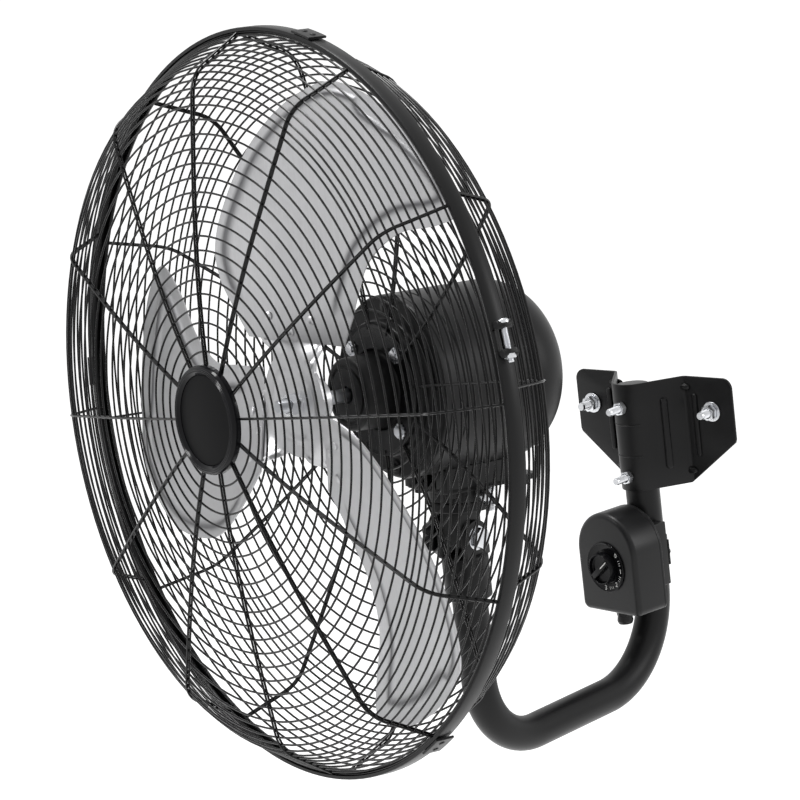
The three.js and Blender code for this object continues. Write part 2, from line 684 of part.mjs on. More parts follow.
const panScrewZ = () => HUB_FROM + BASE_HUB_H / 2;

function pivotNut() {
  const from = BASE_TO + GAP;
  return nut('z', PIVOT_NUT_FLATS, THREAD_D, from, from + PIVOT_NUT_H);
}

// wing screw that locks the turning base on the post
function panLockScrew() {
  const inner = POST_D / 2 + SEAT + GAP;
  const outer = FLANGE_R + 6;
  const shank = rod('x', PAN_SCREW_D / 2, inner, outer + 2, 12);
  const boss = rod('x', PAN_SCREW_D, outer, outer + 10, 14);
  const wing = rod('y', PAN_WING_R, -1.8, 1.8, 20);
  const wings = common(wing, block(-PAN_WING_R, PAN_WING_R / 2, -3, 3, -PAN_WING_R, PAN_WING_R));
  return join(shank, boss, wings.translate(outer + 14, 0, 0)).translate(0, 0, panScrewZ());
}

// ---- guards ------------------------------------------------------------------------------
// A guard is one lattice: rings at the stations of its profile and bars from ring to ring.
// Each station is { radius, y, width }, from the rim inwards.
function lattice(stations, depth) {
  const count = stations.length;
  const frames = stations.map((station, i) => {
    const before = stations[Math.max(i - 1, 0)];
    const after = stations[Math.min(i + 1, count - 1)];
    const slope = station.flat ? 0 : after.y - before.y;
    const along = new THREE.Vector2(after.radius - before.radius, slope).normalize();
    return { along, out: new THREE.Vector2(along.y, -along.x) };
  });
  const sector = (2 * Math.PI) / RADIALS;
  // angles round a ring: each radial bar's two sides, then one point between the bars
  const angles = (radius) => Array.from({ length: RADIALS }, (_, j) => {
    const half = Math.asin(WIRE / 2 / radius);
    return [j * sector - half, j * sector + half, (j + 0.5) * sector];
  }).flat();
  const corner = (i, side, face) => {
    const { radius, y, width } = stations[i];
    const { along, out } = frames[i];
    const r = radius + (along.x * side * width) / 2 + (out.x * face * depth) / 2;
    const h = y + (along.y * side * width) / 2 + (out.y * face * depth) / 2;
    return angles(radius).map((angle) => new THREE.Vector3(r * Math.cos(angle), h, r * Math.sin(angle)));
  };
  const grid = stations.map((_, i) => [-1, 1].map((side) => [-1, 1].map((face) => corner(i, side, face))));
  const quads = [];
  const steps = RADIALS * 3;
  for (let i = 0; i < count; i += 1) {
    const [[nearIn, nearOut], [farIn, farOut]] = grid[i];
    for (let k = 0; k < steps; k += 1) {
      const n = (k + 1) % steps;
      const crossing = k % 3 === 0;
      quads.push([nearOut[k], nearOut[n], farOut[n], farOut[k]]);
      quads.push([nearIn[k], farIn[k], farIn[n], nearIn[n]]);
      if (!crossing || i === 0) quads.push([nearIn[k], nearIn[n], nearOut[n], nearOut[k]]);
      if (!crossing || i === count - 1) quads.push([farIn[k], farOut[k], farOut[n], farIn[n]]);
      if (crossing && i + 1 < count) {
        const [nextIn, nextOut] = grid[i + 1][0];
        quads.push([farOut[k], farOut[n], nextOut[n], nextOut[k]]);
        quads.push([farIn[k], nextIn[k], nextIn[n], farIn[n]]);
        quads.push([farIn[k], farOut[k], nextOut[k], nextIn[k]]);
        quads.push([farIn[n], nextIn[n], nextOut[n], farOut[n]]);
      }
    }
  }
  return fromQuads(quads);
}

// rim, straight slope, rounded shoulder, domed face, centre ring; depth counts away from the band plane
function guardStations(shoulder, face, centre, direction) {
  const stations = [];
  const station = (radius, depth, width, flat = false) =>
    stations.push({ radius, y: direction * depth, width, flat });
  station(RIM_R, RIM_OFFSET, WIRE);
  const end = degrees(shoulder.edgeSlope);
  for (let i = 1; i <= shoulder.rings; i += 1) {
    const share = (i - 1) / (shoulder.rings - 1);
    const turn = degrees(shoulder.slope + (shoulder.edgeSlope - shoulder.slope) * share);
    const radius = face.radius + shoulder.round * (Math.sin(turn) - Math.sin(end));
    station(radius, face.depth - shoulder.round * (Math.cos(end) - Math.cos(turn)), WIRE);
  }
  for (let i = 1; i <= face.rings; i += 1) {
    const share = i / face.rings;
    const last = i === face.rings;
    const radius = face.radius + (centre.radius - face.radius) * share;
    const lift = Math.sin((share * Math.PI) / 2);
    station(radius, face.depth + (centre.depth - face.depth) * lift, last ? centre.width : WIRE, last);
  }
  return stations;
}

function frontGuard() {
  const shoulder = {
    rings: FRONT_SHOULDER_RINGS, round: FRONT_ROUND_R, slope: FRONT_SLOPE, edgeSlope: FRONT_EDGE_SLOPE,
  };
  const face = { radius: RIM_R - FRONT_SHOULDER_W, depth: FRONT_FACE_DEPTH, rings: FRONT_FACE_RINGS };
  const centre = { radius: CENTRE_RING_R, depth: FRONT_CENTRE_DEPTH, width: CENTRE_RING_W };
  return lattice(guardStations(shoulder, face, centre, -1), WIRE);
}

function rearGuard() {
  const shoulder = {
    rings: REAR_SHOULDER_RINGS, round: REAR_ROUND_R, slope: REAR_SLOPE, edgeSlope: REAR_EDGE_SLOPE,
  };
  const face = { radius: RIM_R - REAR_SHOULDER_W, depth: REAR_FACE_DEPTH, rings: REAR_FACE_RINGS };
  const centre = { radius: PLATE_RING_R, depth: REAR_CENTRE_DEPTH, width: PLATE_RING_W };
  const shell = lattice(guardStations(shoulder, face, centre, 1), WIRE);
  return cut(shell, ...guardScrewPlaces().map(([x, z]) =>
    rod('y', GUARD_SCREW_D / 2 + SEAT, REAR_CENTRE_DEPTH - 9, REAR_CENTRE_DEPTH + 9, 10).translate(x, 0, z)));
}

const STEP_FACE = MOTOR_BEHIND_BAND - BELL_STEP_H; // face of the bell's step, from the band plane
const REAR_CENTRE_DEPTH = STEP_FACE - GAP - WIRE / 2;
const guardScrewPlaces = () =>
  arc(0, 0, PLATE_RING_R, 45, 45 + 360 * (1 - 1 / GUARD_SCREWS), GUARD_SCREWS - 1);

function guardBand() {
  const half = BAND_W / 2;
  const inner = BAND_R - BAND_T;
  const ring = turned([[inner, -half], [BAND_R, -half], [BAND_R, half], [inner, half]], 64);
  const split = block(-BAND_SPLIT / 2, BAND_SPLIT / 2, -BAND_W, BAND_W, 0, BAND_R + LUG_H + 1);
  const lugs = [-BAND_SPLIT / 2 - LUG_T, BAND_SPLIT / 2].map((x) =>
    block(x, x + LUG_T, -half + 1, half - 1, inner + 0.4, BAND_R + LUG_H));
  const hole = rod('x', BAND_BOLT_D / 2 + SEAT, -BAND_SPLIT, BAND_SPLIT, 12).translate(0, 0, bandBoltZ());
  return cut(join(cut(ring, split), ...lugs), hole);
}

const bandBoltZ = () => BAND_R + LUG_H / 2;

function bandBolt() {
  const out = BAND_SPLIT / 2 + LUG_T + GAP;
  const head = rod('x', BAND_BOLT_D, -out - 4, -out, 16);
  const shank = rod('x', BAND_BOLT_D / 2, -out - 1, out + 7, 12);
  return join(head, shank).translate(0, 0, bandBoltZ());
}

function bandNut() {
  const from = BAND_SPLIT / 2 + LUG_T + GAP;
  return nut('x', BAND_BOLT_D * 1.7, BAND_BOLT_D, from, from + 4).translate(0, 0, bandBoltZ());
}

// clip over the band; drawn at the top and turned to its place
function bandClip() {
  const from = BAND_R + GAP;
  const half = BAND_W / 2;
  return block(-CLIP_L / 2, CLIP_L / 2, -half - 2, half + 2, from, from + CLIP_T);
}

function guardScrew() {
  const under = REAR_CENTRE_DEPTH - WIRE / 2 - GAP;
  const head = rod('y', GUARD_SCREW_HEAD / 2, under - 3.5, under, 16);
  const shank = rod('y', GUARD_SCREW_D / 2, under - 1, STEP_FACE - GAP, 12);
  return join(head, shank);
}

function capBezel() {
  const back = -FRONT_CENTRE_DEPTH - WIRE / 2 - GAP;
  const front = back - CAP_H;
  const inner = CAP_R - CAP_RIM_W;
  return turned([[inner - 2, back], [CAP_R, back], [CAP_R, front + 3], [CAP_R - 2.5, front],
    [inner, front], [inner - 2, back - 2]], 32);
}

function capDisc() {
  const back = -FRONT_CENTRE_DEPTH - WIRE / 2 - GAP;
  const seat = back - 2 - GAP;
  const radius = CAP_R - CAP_RIM_W - 2 - SEAT;
  return rod('y', radius, seat - CAP_H + CAP_DISC_SINK + 3, seat + 2, 36);
}

// ---- motor, drawn with the bell's front at y = 0 ------------------------------------------
const BELL_FRONT = MOTOR_BEHIND_BAND - BAND_TO_PIVOT; // in the head's frame
const STATOR_TO = STATOR_FROM + STATOR_L;
const REAR_SEAT = STATOR_TO + WINDING_L + 4;

function motorBell() {
  const bearingFrom = -BOSS_L + 4;
  const outline = [
    [SHAFT_D / 2 + 2, -BOSS_L], [BOSS_R - 4, -BOSS_L], [BOSS_R, -BOSS_L + 4], [BOSS_R, -BELL_STEP_H],
    [BELL_STEP_R - 3, -BELL_STEP_H], [BELL_STEP_R, -BELL_STEP_H + 3], [BELL_STEP_R, 0],
    [MOTOR_R - 3, 0], [MOTOR_R, 3], [MOTOR_R, BELL_T], [BELL_STEP_R - 6, BELL_T],
    [BELL_STEP_R - 6, -BELL_STEP_H + 4], [BEARING_OD / 2 + SEAT, -BELL_STEP_H + 4],
    [BEARING_OD / 2 + SEAT, bearingFrom], [SHAFT_D / 2 + 2, bearingFrom],
  ];
  return turned(outline, 36);
}

function motorShell() {
  const front = BELL_T + GAP;
  const straight = front + SHELL_STRAIGHT;
  const dome = (radius, depth, flat) => Array.from({ length: DOME_STEPS + 1 }, (_, i) => {
    const angle = (Math.PI / 2) * (i / DOME_STEPS);
    return [flat + (radius - flat) * Math.cos(angle), straight + depth * Math.sin(angle)];
  });
  const outer = dome(MOTOR_R, DOME_DEPTH, DOME_FLAT_R);
  const inner = dome(MOTOR_R - SHELL_WALL, DOME_DEPTH - SHELL_WALL, DOME_FLAT_R - SHELL_WALL).reverse();
  return new THREE.LatheGeometry([
    ...[[MOTOR_R - SHELL_WALL, front], [MOTOR_R, front], ...outer, [0, straight + DOME_DEPTH],
      [0, straight + DOME_DEPTH - SHELL_WALL], ...inner, [MOTOR_R - SHELL_WALL, front]],
  ].map(([radius, y]) => new THREE.Vector2(radius, y)), 36);
}

const tubeSection = (outer, inner, from, to, sides) =>
  turned([[inner, from], [outer, from], [outer, to], [inner, to]], sides);

function innerBracket() {
  const seat = BEARING_OD / 2 + SEAT;
  const outer = MOTOR_R - SHELL_WALL - SEAT;
  return turned([[seat, REAR_SEAT], [outer, REAR_SEAT], [outer, REAR_SEAT + INNER_BRACKET_T],
    [seat + 4, REAR_SEAT + INNER_BRACKET_T], [seat + 4, REAR_SEAT + BEARING_W + 3],
    [SHAFT_D / 2 + 4, REAR_SEAT + BEARING_W + 3], [SHAFT_D / 2 + 4, REAR_SEAT + BEARING_W],
    [seat, REAR_SEAT + BEARING_W]], 24);
}

function bearing(from) {
  return tubeSection(BEARING_OD / 2, SHAFT_D / 2 + SEAT, from, from + BEARING_W - GAP, 24);
}

function capacitor() {
  const from = REAR_SEAT + BEARING_W + 8;
  const can = rod('x', CAPACITOR_D / 2, -CAPACITOR_L / 2, CAPACITOR_L / 2, 20);
  return can.translate(0, from + CAPACITOR_D / 2, 0);
}

function motorGroup() {
  const group = new THREE.Group();
  group.position.y = BELL_FRONT;
  const windings = tubeSection(WINDING_OD / 2, WINDING_ID / 2, 0, WINDING_L, 28);
  group.add(
    piece('motor_front_bell', motorBell(), BLACK_COAT),
    piece('motor_shell', motorShell(), BLACK_COAT),
    piece('stator_core', tubeSection(STATOR_OD / 2, STATOR_ID / 2, STATOR_FROM, STATOR_TO, 32), LAMINATION),
    piece('winding_head_front', windings.clone().translate(0, STATOR_FROM - GAP - WINDING_L, 0), COPPER),
    piece('winding_head_rear', windings.clone().translate(0, STATOR_TO + GAP, 0), COPPER),
    piece('bearing_bracket', innerBracket(), STEEL),
    piece('bearing_front', bearing(-BOSS_L + 4 + GAP), STEEL),
    piece('bearing_rear', bearing(REAR_SEAT), STEEL),
    piece('run_capacitor', capacitor(), WHITE_PLASTIC),
  );
  return group;
}

// ---- blade and hub, drawn round the hub; each blade's length runs along +Z ------------------
function pitchAt(radius) {
  const share = (radius - BLADE_ROOT_R) / (BLADE_TIP_R - BLADE_ROOT_R);
  return degrees(ROOT_PITCH + (TIP_PITCH - ROOT_PITCH) * Math.max(share, 0));
}

// 0 on the flat hub plate, 1 from the blade's root outwards
function twistIn(reach) {
  return THREE.MathUtils.smoothstep(reach, HUB_FLAT_R, BLADE_ROOT_R);
}

// a point of the pitched, rolled blade sheet: reach along the arm, chord across it
function sheetPoint({ reach, chord }, offset) {
  const share = twistIn(reach);
  const pitch = pitchAt(Math.hypot(reach, chord)) * share;
  const roll = (BLADE_MID_CHORD ** 2 - (chord - BLADE_MID_CHORD) ** 2) / (2 * BLADE_BEND_R);
  const height = roll * share + offset;
  const tangential = chord * Math.cos(pitch) - height * Math.sin(pitch);
  const axial = chord * Math.sin(pitch) + height * Math.cos(pitch);
  return new THREE.Vector3(tangential, axial, reach);
}

// a curved plate between two edges, each a row of { reach, chord } from the root outwards
function sheet({ heel, nose, offset, thickness }) {
  const steps = heel.length - 1;
  const surface = (face) => heel.map((start, i) => Array.from({ length: CHORD_STEPS + 1 }, (_, k) => {
    const share = k / CHORD_STEPS;
    const spot = {
      reach: start.reach + (nose[i].reach - start.reach) * share,
      chord: start.chord + (nose[i].chord - start.chord) * share,
    };
    return sheetPoint(spot, offset + (face * thickness) / 2);
  }));
  const rear = surface(1);
  const front = surface(-1);
  const quads = [];
  for (let i = 0; i < steps; i += 1) {
    for (let k = 0; k < CHORD_STEPS; k += 1) {
      quads.push([rear[i][k], rear[i + 1][k], rear[i + 1][k + 1], rear[i][k + 1]]);
      quads.push([front[i][k], front[i][k + 1], front[i + 1][k + 1], front[i + 1][k]]);
    }
    const end = CHORD_STEPS;
    quads.push([rear[i][0], front[i][0], front[i + 1][0], rear[i + 1][0]]);
    quads.push([rear[i][end], rear[i + 1][end], front[i + 1][end], front[i][end]]);
  }
  for (let k = 0; k < CHORD_STEPS; k += 1) {
    quads.push([rear[0][k], rear[0][k + 1], front[0][k + 1], front[0][k]]);
    quads.push([rear[steps][k], front[steps][k], front[steps][k + 1], rear[steps][k + 1]]);
  }
  return fromQuads(quads);
}

const rivetSpots = RIVETS.map(([reach, chord]) => ({ reach, chord }));
const ARM_OFFSET = BLADE_T / 2 + SHEET_GAP + SPIDER_T / 2;

// a short rod square to the blade sheet
function studOnSheet(spot, radius, from, to) {
  const base = sheetPoint(spot, 0);
  const normal = sheetPoint(spot, 1).sub(base).normalize();
  const stud = rod('y', radius, from, to, 8);
  stud.applyQuaternion(new THREE.Quaternion().setFromUnitVectors(new THREE.Vector3(0, 1, 0), normal));
  return stud.translate(base.x, base.y, base.z);
}

// points along one edge of the blade's outline
function bladeEdge(outline) {
  const curve = new THREE.SplineCurve(outline.map(([share, angle]) => {
    const radius = BLADE_ROOT_R + (BLADE_TIP_R - BLADE_ROOT_R) * share;
    return new THREE.Vector2(radius * Math.cos(degrees(angle)), radius * Math.sin(degrees(angle)));
  }));
  return curve.getSpacedPoints(BLADE_STEPS).map(({ x, y }) => ({ reach: x, chord: y }));
}

function blade() {
  const plate = sheet({
    heel: bladeEdge(HEEL_EDGE),
    nose: bladeEdge(NOSE_EDGE),
    offset: 0,
    thickness: BLADE_T,
  });
  return cut(plate, ...rivetSpots.map((spot) => studOnSheet(spot, RIVET_R / 2 + SEAT, -4, 4)));
}

function spiderHub() {
  const half = SPIDER_ARM_W / 2;
  const bendFrom = SPIDER_R - 2;
  const bendTo = BLADE_ROOT_R - 1;
  const stations = [
    [SPIDER_R - ARM_SUNK, half], [bendFrom, half], [(bendFrom + bendTo) / 2, half], [bendTo, half],
    [SPIDER_ARM_R - half / 2, half], [SPIDER_ARM_R, half / 2],
  ];
  const edge = (side) => stations.map(([reach, width]) => ({ reach, chord: side * width }));
  const arm = sheet({
    heel: edge(-1),
    nose: edge(1),
    offset: ARM_OFFSET,
    thickness: SPIDER_T,
  });
  const face = -BLADE_T / 2 - SHEET_GAP;
  const rivets = rivetSpots.flatMap((spot) => [
    studOnSheet(spot, RIVET_R / 2, face - 1, ARM_OFFSET),
    studOnSheet(spot, RIVET_R, face - RIVET_H, face),
  ]);
  const armWithRivets = join(arm, ...rivets);
  const arms = bladeTurns().map((turn) => armWithRivets.clone().rotateY(turn));
  const plate = rod('y', SPIDER_R, ARM_OFFSET - SPIDER_T / 2, ARM_OFFSET + SPIDER_T / 2, 36);
  const boss = rod('y', SPIDER_BOSS_R, ARM_OFFSET, ARM_OFFSET + SPIDER_BOSS_L, 24);
  const bore = rod('y', SHAFT_D / 2 + SEAT, -SPIDER_BOSS_L, ARM_OFFSET + SPIDER_BOSS_L + 1, 20);
  return cut(join(plate, boss, ...arms), bore);
}

const bladeTurns = () => Array.from({ length: BLADES }, (_, i) => degrees(BLADE_TURN + (360 * i) / BLADES));

function hubNut() {
  const to = ARM_OFFSET - SPIDER_T / 2 - GAP;
  return nut('y', HUB_NUT_FLATS, SHAFT_D, to - HUB_NUT_H, to);
}

function motorShaft() {
  const rear = BAND_TO_PIVOT - HUB_BEHIND_BAND + BELL_FRONT + REAR_SEAT + BEARING_W - GAP;
  return rod('y', SHAFT_D / 2, -SHAFT_NOSE, rear, 20);
}

function rotorCore() {
  const front = BAND_TO_PIVOT - HUB_BEHIND_BAND + BELL_FRONT + STATOR_FROM;
  return tubeSection(STATOR_ID / 2 - AIR_GAP, SHAFT_D / 2 + SEAT, front, front + STATOR_L, 32);
}

function rotorGroup() {
  const group = new THREE.Group();
  group.position.y = HUB_BEHIND_BAND - BAND_TO_PIVOT;
  group.add(
    piece('motor_shaft', motorShaft(), STEEL),
    piece('rotor_core', rotorCore(), LAMINATION),
    piece('spider_hub', spiderHub(), ALUMINIUM),
    piece('hub_nut', hubNut(), ZINC),
  );
  bladeTurns().forEach((turn, i) => {
    const mesh = piece(`blade_${i + 1}`, blade(), ALUMINIUM);
    mesh.rotation.y = turn;
    group.add(mesh);
  });
  return group;
}

// ---- assembly ----------------------------------------------------------------------------
const fan = new THREE.Group();
fan.add(
  piece('wall_bracket', wallBracket(), BLACK_COAT),
  piece('arm_tube', armTube(), BLACK_COAT),
  piece('tube_plug', tubePlug().translate(0, -TUBE_FROM_WALL, 0), BLACK_PLASTIC),
  ...wallFasteners(),
  ...clampFasteners(),
  switchBox(),
);

const headJoint = new THREE.Group();
headJoint.position.set(0, -TUBE_FROM_WALL - ARM_REACH, TILT_Z);
fan.add(headJoint);
headJoint.add(
  piece('tilt_fork', tiltFork(), BLACK_COAT),
  piece('tilt_bolt', tiltBolt(), ZINC),
  piece('tilt_lock_knob', tiltLockKnob(), KNOB_PLASTIC),
);

const tilting = new THREE.Group();
tilting.rotation.x = -degrees(REST_TILT);
headJoint.add(tilting);
tilting.add(piece('neck', neck(), BLACK_COAT), piece('pivot_nut', pivotNut(), ZINC));

const turning = new THREE.Group();
turning.rotation.z = -degrees(REST_PAN);
tilting.add(turning);
turning.add(piece('head_base', headBase(), BLACK_COAT), piece('pan_lock_screw', panLockScrew(), ZINC));

const head = new THREE.Group();
head.position.z = FAN_AXIS_Z;
turning.add(head);
head.add(motorGroup(), rotorGroup());

const guards = new THREE.Group();
guards.position.y = -BAND_TO_PIVOT;
head.add(guards);
guards.add(
  piece('rear_guard', rearGuard(), BLACK_WIRE),
  piece('front_guard', frontGuard(), BLACK_WIRE),
  piece('cap_bezel', capBezel(), KNOB_PLASTIC),
  piece('cap_disc', capDisc(), BLACK_PLASTIC),
);
CLIP_TURNS.forEach((turn, i) => {
  const clip = piece(`band_clip_${i + 1}`, bandClip(), BLACK_COAT);
  clip.rotation.y = degrees(turn);
  guards.add(clip);
});

// the band is drawn with its joint at the top
const band = new THREE.Group();
band.rotation.y = degrees(BAND_JOINT_TURN);
guards.add(band);
band.add(
  piece('guard_band', guardBand(), BLACK_COAT),
  piece('band_bolt', bandBolt(), ZINC),
  piece('band_nut', bandNut(), ZINC),
);
guardScrewPlaces().forEach(([x, z], i) => {
  guards.add(placed(piece(`guard_screw_${i + 1}`, guardScrew(), ZINC), x, 0, z));
});

export default fan;
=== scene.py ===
"""Wall mounted fan, 24 inch class: the fine pieces, the finishes and the studio around its CAD frame.

Metres, +Z up, wall plane at Y = 0, the room is on the -Y side. Each sub-part is drawn in its own
frame, with -Y to its front, and then set in its place.
"""

import json
import math

import bmesh
import bpy
from bpy.props import FloatProperty, FloatVectorProperty, IntProperty, PointerProperty
from mathutils import Matrix, Vector


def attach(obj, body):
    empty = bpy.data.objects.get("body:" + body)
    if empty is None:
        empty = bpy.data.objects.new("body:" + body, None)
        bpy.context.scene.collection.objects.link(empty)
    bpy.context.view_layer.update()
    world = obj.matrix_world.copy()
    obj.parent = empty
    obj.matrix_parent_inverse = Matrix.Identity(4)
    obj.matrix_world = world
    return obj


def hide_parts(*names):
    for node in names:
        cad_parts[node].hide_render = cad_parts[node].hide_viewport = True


bl_info = {
    "name": "Wall mounted fan",
    "version": (1, 0, 0),
    "blender": (4, 5, 0),
    "location": "View3D > Sidebar > Fan",
    "description": "Builds the fan's fine pieces, finishes and studio around its CAD frame",
    "category": "Object",
}

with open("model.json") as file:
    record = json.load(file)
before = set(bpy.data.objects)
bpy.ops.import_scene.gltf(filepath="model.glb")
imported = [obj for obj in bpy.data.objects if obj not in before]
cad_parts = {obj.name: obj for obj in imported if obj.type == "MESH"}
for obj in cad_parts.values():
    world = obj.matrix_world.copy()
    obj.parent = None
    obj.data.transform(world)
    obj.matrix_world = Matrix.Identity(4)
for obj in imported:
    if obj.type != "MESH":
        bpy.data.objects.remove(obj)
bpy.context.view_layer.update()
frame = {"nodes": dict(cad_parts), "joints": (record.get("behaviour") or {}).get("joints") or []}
joints = {joint["name"]: joint for joint in frame["joints"]}

MM = 0.001
FULL_TURN = 2 * math.pi
TOUCH = 0.3 * MM  # clearance between pieces that touch
SINK = 0.3 * MM  # how far a pressed or fitted detail sits inside what carries it


# ---- places --------------------------------------------------------------------------------
def place_at(origin, front, up):
    """A sub-part's frame: -Y to its front, +Z up."""
    y = -Vector(front).normalized()
    z = Vector(up).normalized()
    turn = Matrix((y.cross(z), y, z)).transposed().to_4x4()
    return Matrix.Translation(Vector(origin)) @ turn


def along_y(distance):
    return Matrix.Translation((0, distance, 0))


def turned(degrees, axis="Y"):
    return Matrix.Rotation(math.radians(degrees), 4, axis)


Y_AND_Z_SWAPPED = Matrix(((1, 0, 0, 0), (0, 0, 1, 0), (0, 1, 0, 0), (0, 0, 0, 1)))


# sizes of the arm and what it carries
TUBE_R = 16 * MM
TUBE_BORE_R = 13.5 * MM
TUBE_FROM_WALL = 29 * MM
ARM_REACH = 260 * MM
ARM_DROP = 250 * MM
WALL_BEND = 85 * MM
HEAD_BEND = 70 * MM
TUBE_TOP = 26 * MM
TUBE_HEAD_END = -72 * MM
BOX_FRONT = 56 * MM  # the box's face to the tube's axis
DIAL_Z = 45 * MM  # dial centre over the box's bottom

# sizes of the head
BAND_TO_PIVOT = 170 * MM
HUB_BEHIND_BAND = 2 * MM
BELL_FRONT = -66 * MM

HEAD = place_at(joints["blade_spin"]["pos_m"], joints["blade_spin"]["axis"], joints["head_pan"]["axis"])
MOTOR = HEAD @ along_y(BELL_FRONT)
BAND = HEAD @ along_y(-BAND_TO_PIVOT)
ROTOR = HEAD @ along_y(HUB_BEHIND_BAND - BAND_TO_PIVOT)
NECK_UP = Vector(joints["head_pan"]["axis"])
NECK = place_at(joints["head_tilt"]["pos_m"], Vector((1, 0, 0)).cross(NECK_UP), NECK_UP)
FORK = place_at(joints["head_tilt"]["pos_m"], (0, -1, 0), (0, 0, 1))
FAN_AXIS_Z = (NECK.inverted() @ HEAD.translation).z
BASE = NECK @ (NECK.inverted() @ HEAD).to_3x3().to_4x4()
KNOB_AXIS = Vector(joints["speed_knob_turn"]["axis"])
BOX = place_at(
    Vector(joints["speed_knob_turn"]["pos_m"]) - KNOB_AXIS * BOX_FRONT - Vector((0, 0, DIAL_Z)),
    KNOB_AXIS,
    (0, 0, 1),
)
TUBE = Matrix.Translation((0, -TUBE_FROM_WALL, 0))


# ---- what a user may change ------------------------------------------------------------------
def length(name, description, value):
    return FloatProperty(name=name, description=description, default=value, unit="LENGTH")


def colour(name, description, value):
    return FloatVectorProperty(
        name=name, description=description, default=value, size=3, min=0, max=1, subtype="COLOR"
    )


class GuardSizes(bpy.types.PropertyGroup):
    ring_wire: length("Ring wire", "Radius of the ring wires", 0.95 * MM)
    radial_wire: length("Radial wire", "Radius of the radial wires", 1.05 * MM)
    rim_wire: length("Rim wire", "Radius of the rims' wire", 2.2 * MM)
    pitch: length("Face pitch", "Ring to ring on the guard's face", 12.2 * MM)
    shoulder_pitch: length("Shoulder pitch", "Ring to ring on the guard's shoulder", 7.2 * MM)
    radials: IntProperty(name="Radials", description="Number of radial wires", default=12)


class BladeSizes(bpy.types.PropertyGroup):
    bead_inset: length("Bead inset", "The blade's edge to the middle of its bead", 20 * MM)
    bead_width: length("Bead width", "Half width of the bead", 3.4 * MM)
    bead_height: length("Bead height", "How far the bead stands proud", 2.0 * MM)
    flange_lift: length("Flange lift", "How far the blade's edge is drawn forward", 2.2 * MM)


class CoatColours(bpy.types.PropertyGroup):
    coat: colour("Coat", "Black powder coat", (0.006, 0.006, 0.0063))
    wire: colour("Wire", "Black coat of the guards", (0.003, 0.003, 0.0032))
    box: colour("Box", "Moulded plastic of the switch box", (0.010, 0.010, 0.0105))
    gloss: colour("Gloss", "Gloss plastic of the knobs", (0.006, 0.006, 0.007))
    cap: colour("Cap", "Plain disc of the front cap", (0.005, 0.005, 0.0053))
    zinc: colour("Zinc", "Bright zinc plate", (0.62, 0.63, 0.65))
    aluminium: colour("Aluminium", "Rolled sheet of the blades", (0.50, 0.50, 0.51))
    # painted shade: this dark colour is mixed into the blades' beads to stand in for the shade of their
    # relief
    pressed: colour("Bead shade", "Shade painted in the blades' pressed beads", (0.12, 0.12, 0.125))
    steel: colour("Steel", "Ground steel", (0.42, 0.43, 0.45))
    lamination: colour("Lamination", "Stacked steel", (0.18, 0.19, 0.2))
    copper: colour("Copper", "Enamelled wire", (0.45, 0.2, 0.08))
    pale: colour("Pale", "Pale plastic and printed marks", (0.78, 0.78, 0.76))


class StudioSettings(bpy.types.PropertyGroup):
    daylight: FloatProperty(name="Surroundings", description="Strength of the world", default=0.5)
    key: FloatProperty(name="Key", description="Power of the key lamp", default=60, unit="POWER")
    top: FloatProperty(name="Top", description="Power of the top lamp", default=30, unit="POWER")
    side: FloatProperty(name="Side", description="Power of the side lamp", default=14, unit="POWER")
    floor: colour("Floor", "Colour of the floor", (0.95, 0.95, 0.95))


# ---- shapes ----------------------------------------------------------------------------------
def rounded(points, radius, steps=4, closed=True):
    """The corners of an outline as arcs; radius is one size or one for each corner."""
    count = len(points)
    radii = radius if isinstance(radius, (list, tuple)) else [radius] * count
    made = []
    for i, point in enumerate(points):
        corner = Vector(point)
        if not radii[i] or (not closed and i in (0, count - 1)):
            made.append(corner)
            continue
        before = Vector(points[i - 1]) - corner
        after = Vector(points[(i + 1) % count]) - corner
        half = before.angle(after) / 2
        reach = min(radii[i] / math.tan(half), before.length * 0.49, after.length * 0.49)
        start = corner + before.normalized() * reach
        end = corner + after.normalized() * reach
        middle = (before.normalized() + after.normalized()).normalized()
        centre = corner + middle * (reach / math.cos(half))
        bend = (start - centre).length
        for k in range(steps + 1):
            spot = start.lerp(end, k / steps)
            made.append(centre + (spot - centre).normalized() * bend)
    return made


def arc(cx, cy, radius, start, end, steps):
    angles = [math.radians(start + (end - start) * k / steps) for k in range(steps + 1)]
    return [(cx + radius * math.cos(a), cy + radius * math.sin(a)) for a in angles]


def spun(outline, steps=64, closed=False):
    """A body of revolution about Y; the outline is a list of (radius, y)."""
    bm = bmesh.new()
    verts = [bm.verts.new((radius, y, 0)) for radius, y in outline]
    row = [*verts, verts[0]] if closed else verts
    edges = [bm.edges.new(pair) for pair in zip(row, row[1:])]
    bmesh.ops.spin(
        bm, geom=verts + edges, cent=(0, 0, 0), axis=(0, 1, 0), angle=FULL_TURN, steps=steps, use_merge=True
    )
    bmesh.ops.remove_doubles(bm, verts=bm.verts, dist=2e-6)
    return bm


def extruded(outline, start, end):
    """An outline of (x, z) points, extruded along Y."""
    bm = bmesh.new()
    face = bm.faces.new([bm.verts.new((x, start, z)) for x, z in outline])
    made = bmesh.ops.extrude_face_region(bm, geom=[face])["geom"]
    moved = [item for item in made if isinstance(item, bmesh.types.BMVert)]
    bmesh.ops.translate(bm, vec=(0, end - start, 0), verts=moved)
    bmesh.ops.recalc_face_normals(bm, faces=bm.faces)
    return bm


def block(x0, x1, y0, y1, z0, z1, soft=0.6 * MM):
    bm = bmesh.new()
    size = Matrix.Diagonal((x1 - x0, y1 - y0, z1 - z0, 1))
    centre = Matrix.Translation(((x0 + x1) / 2, (y0 + y1) / 2, (z0 + z1) / 2))
    bmesh.ops.create_cube(bm, size=1, matrix=centre @ size)
    return softened(bm, soft)


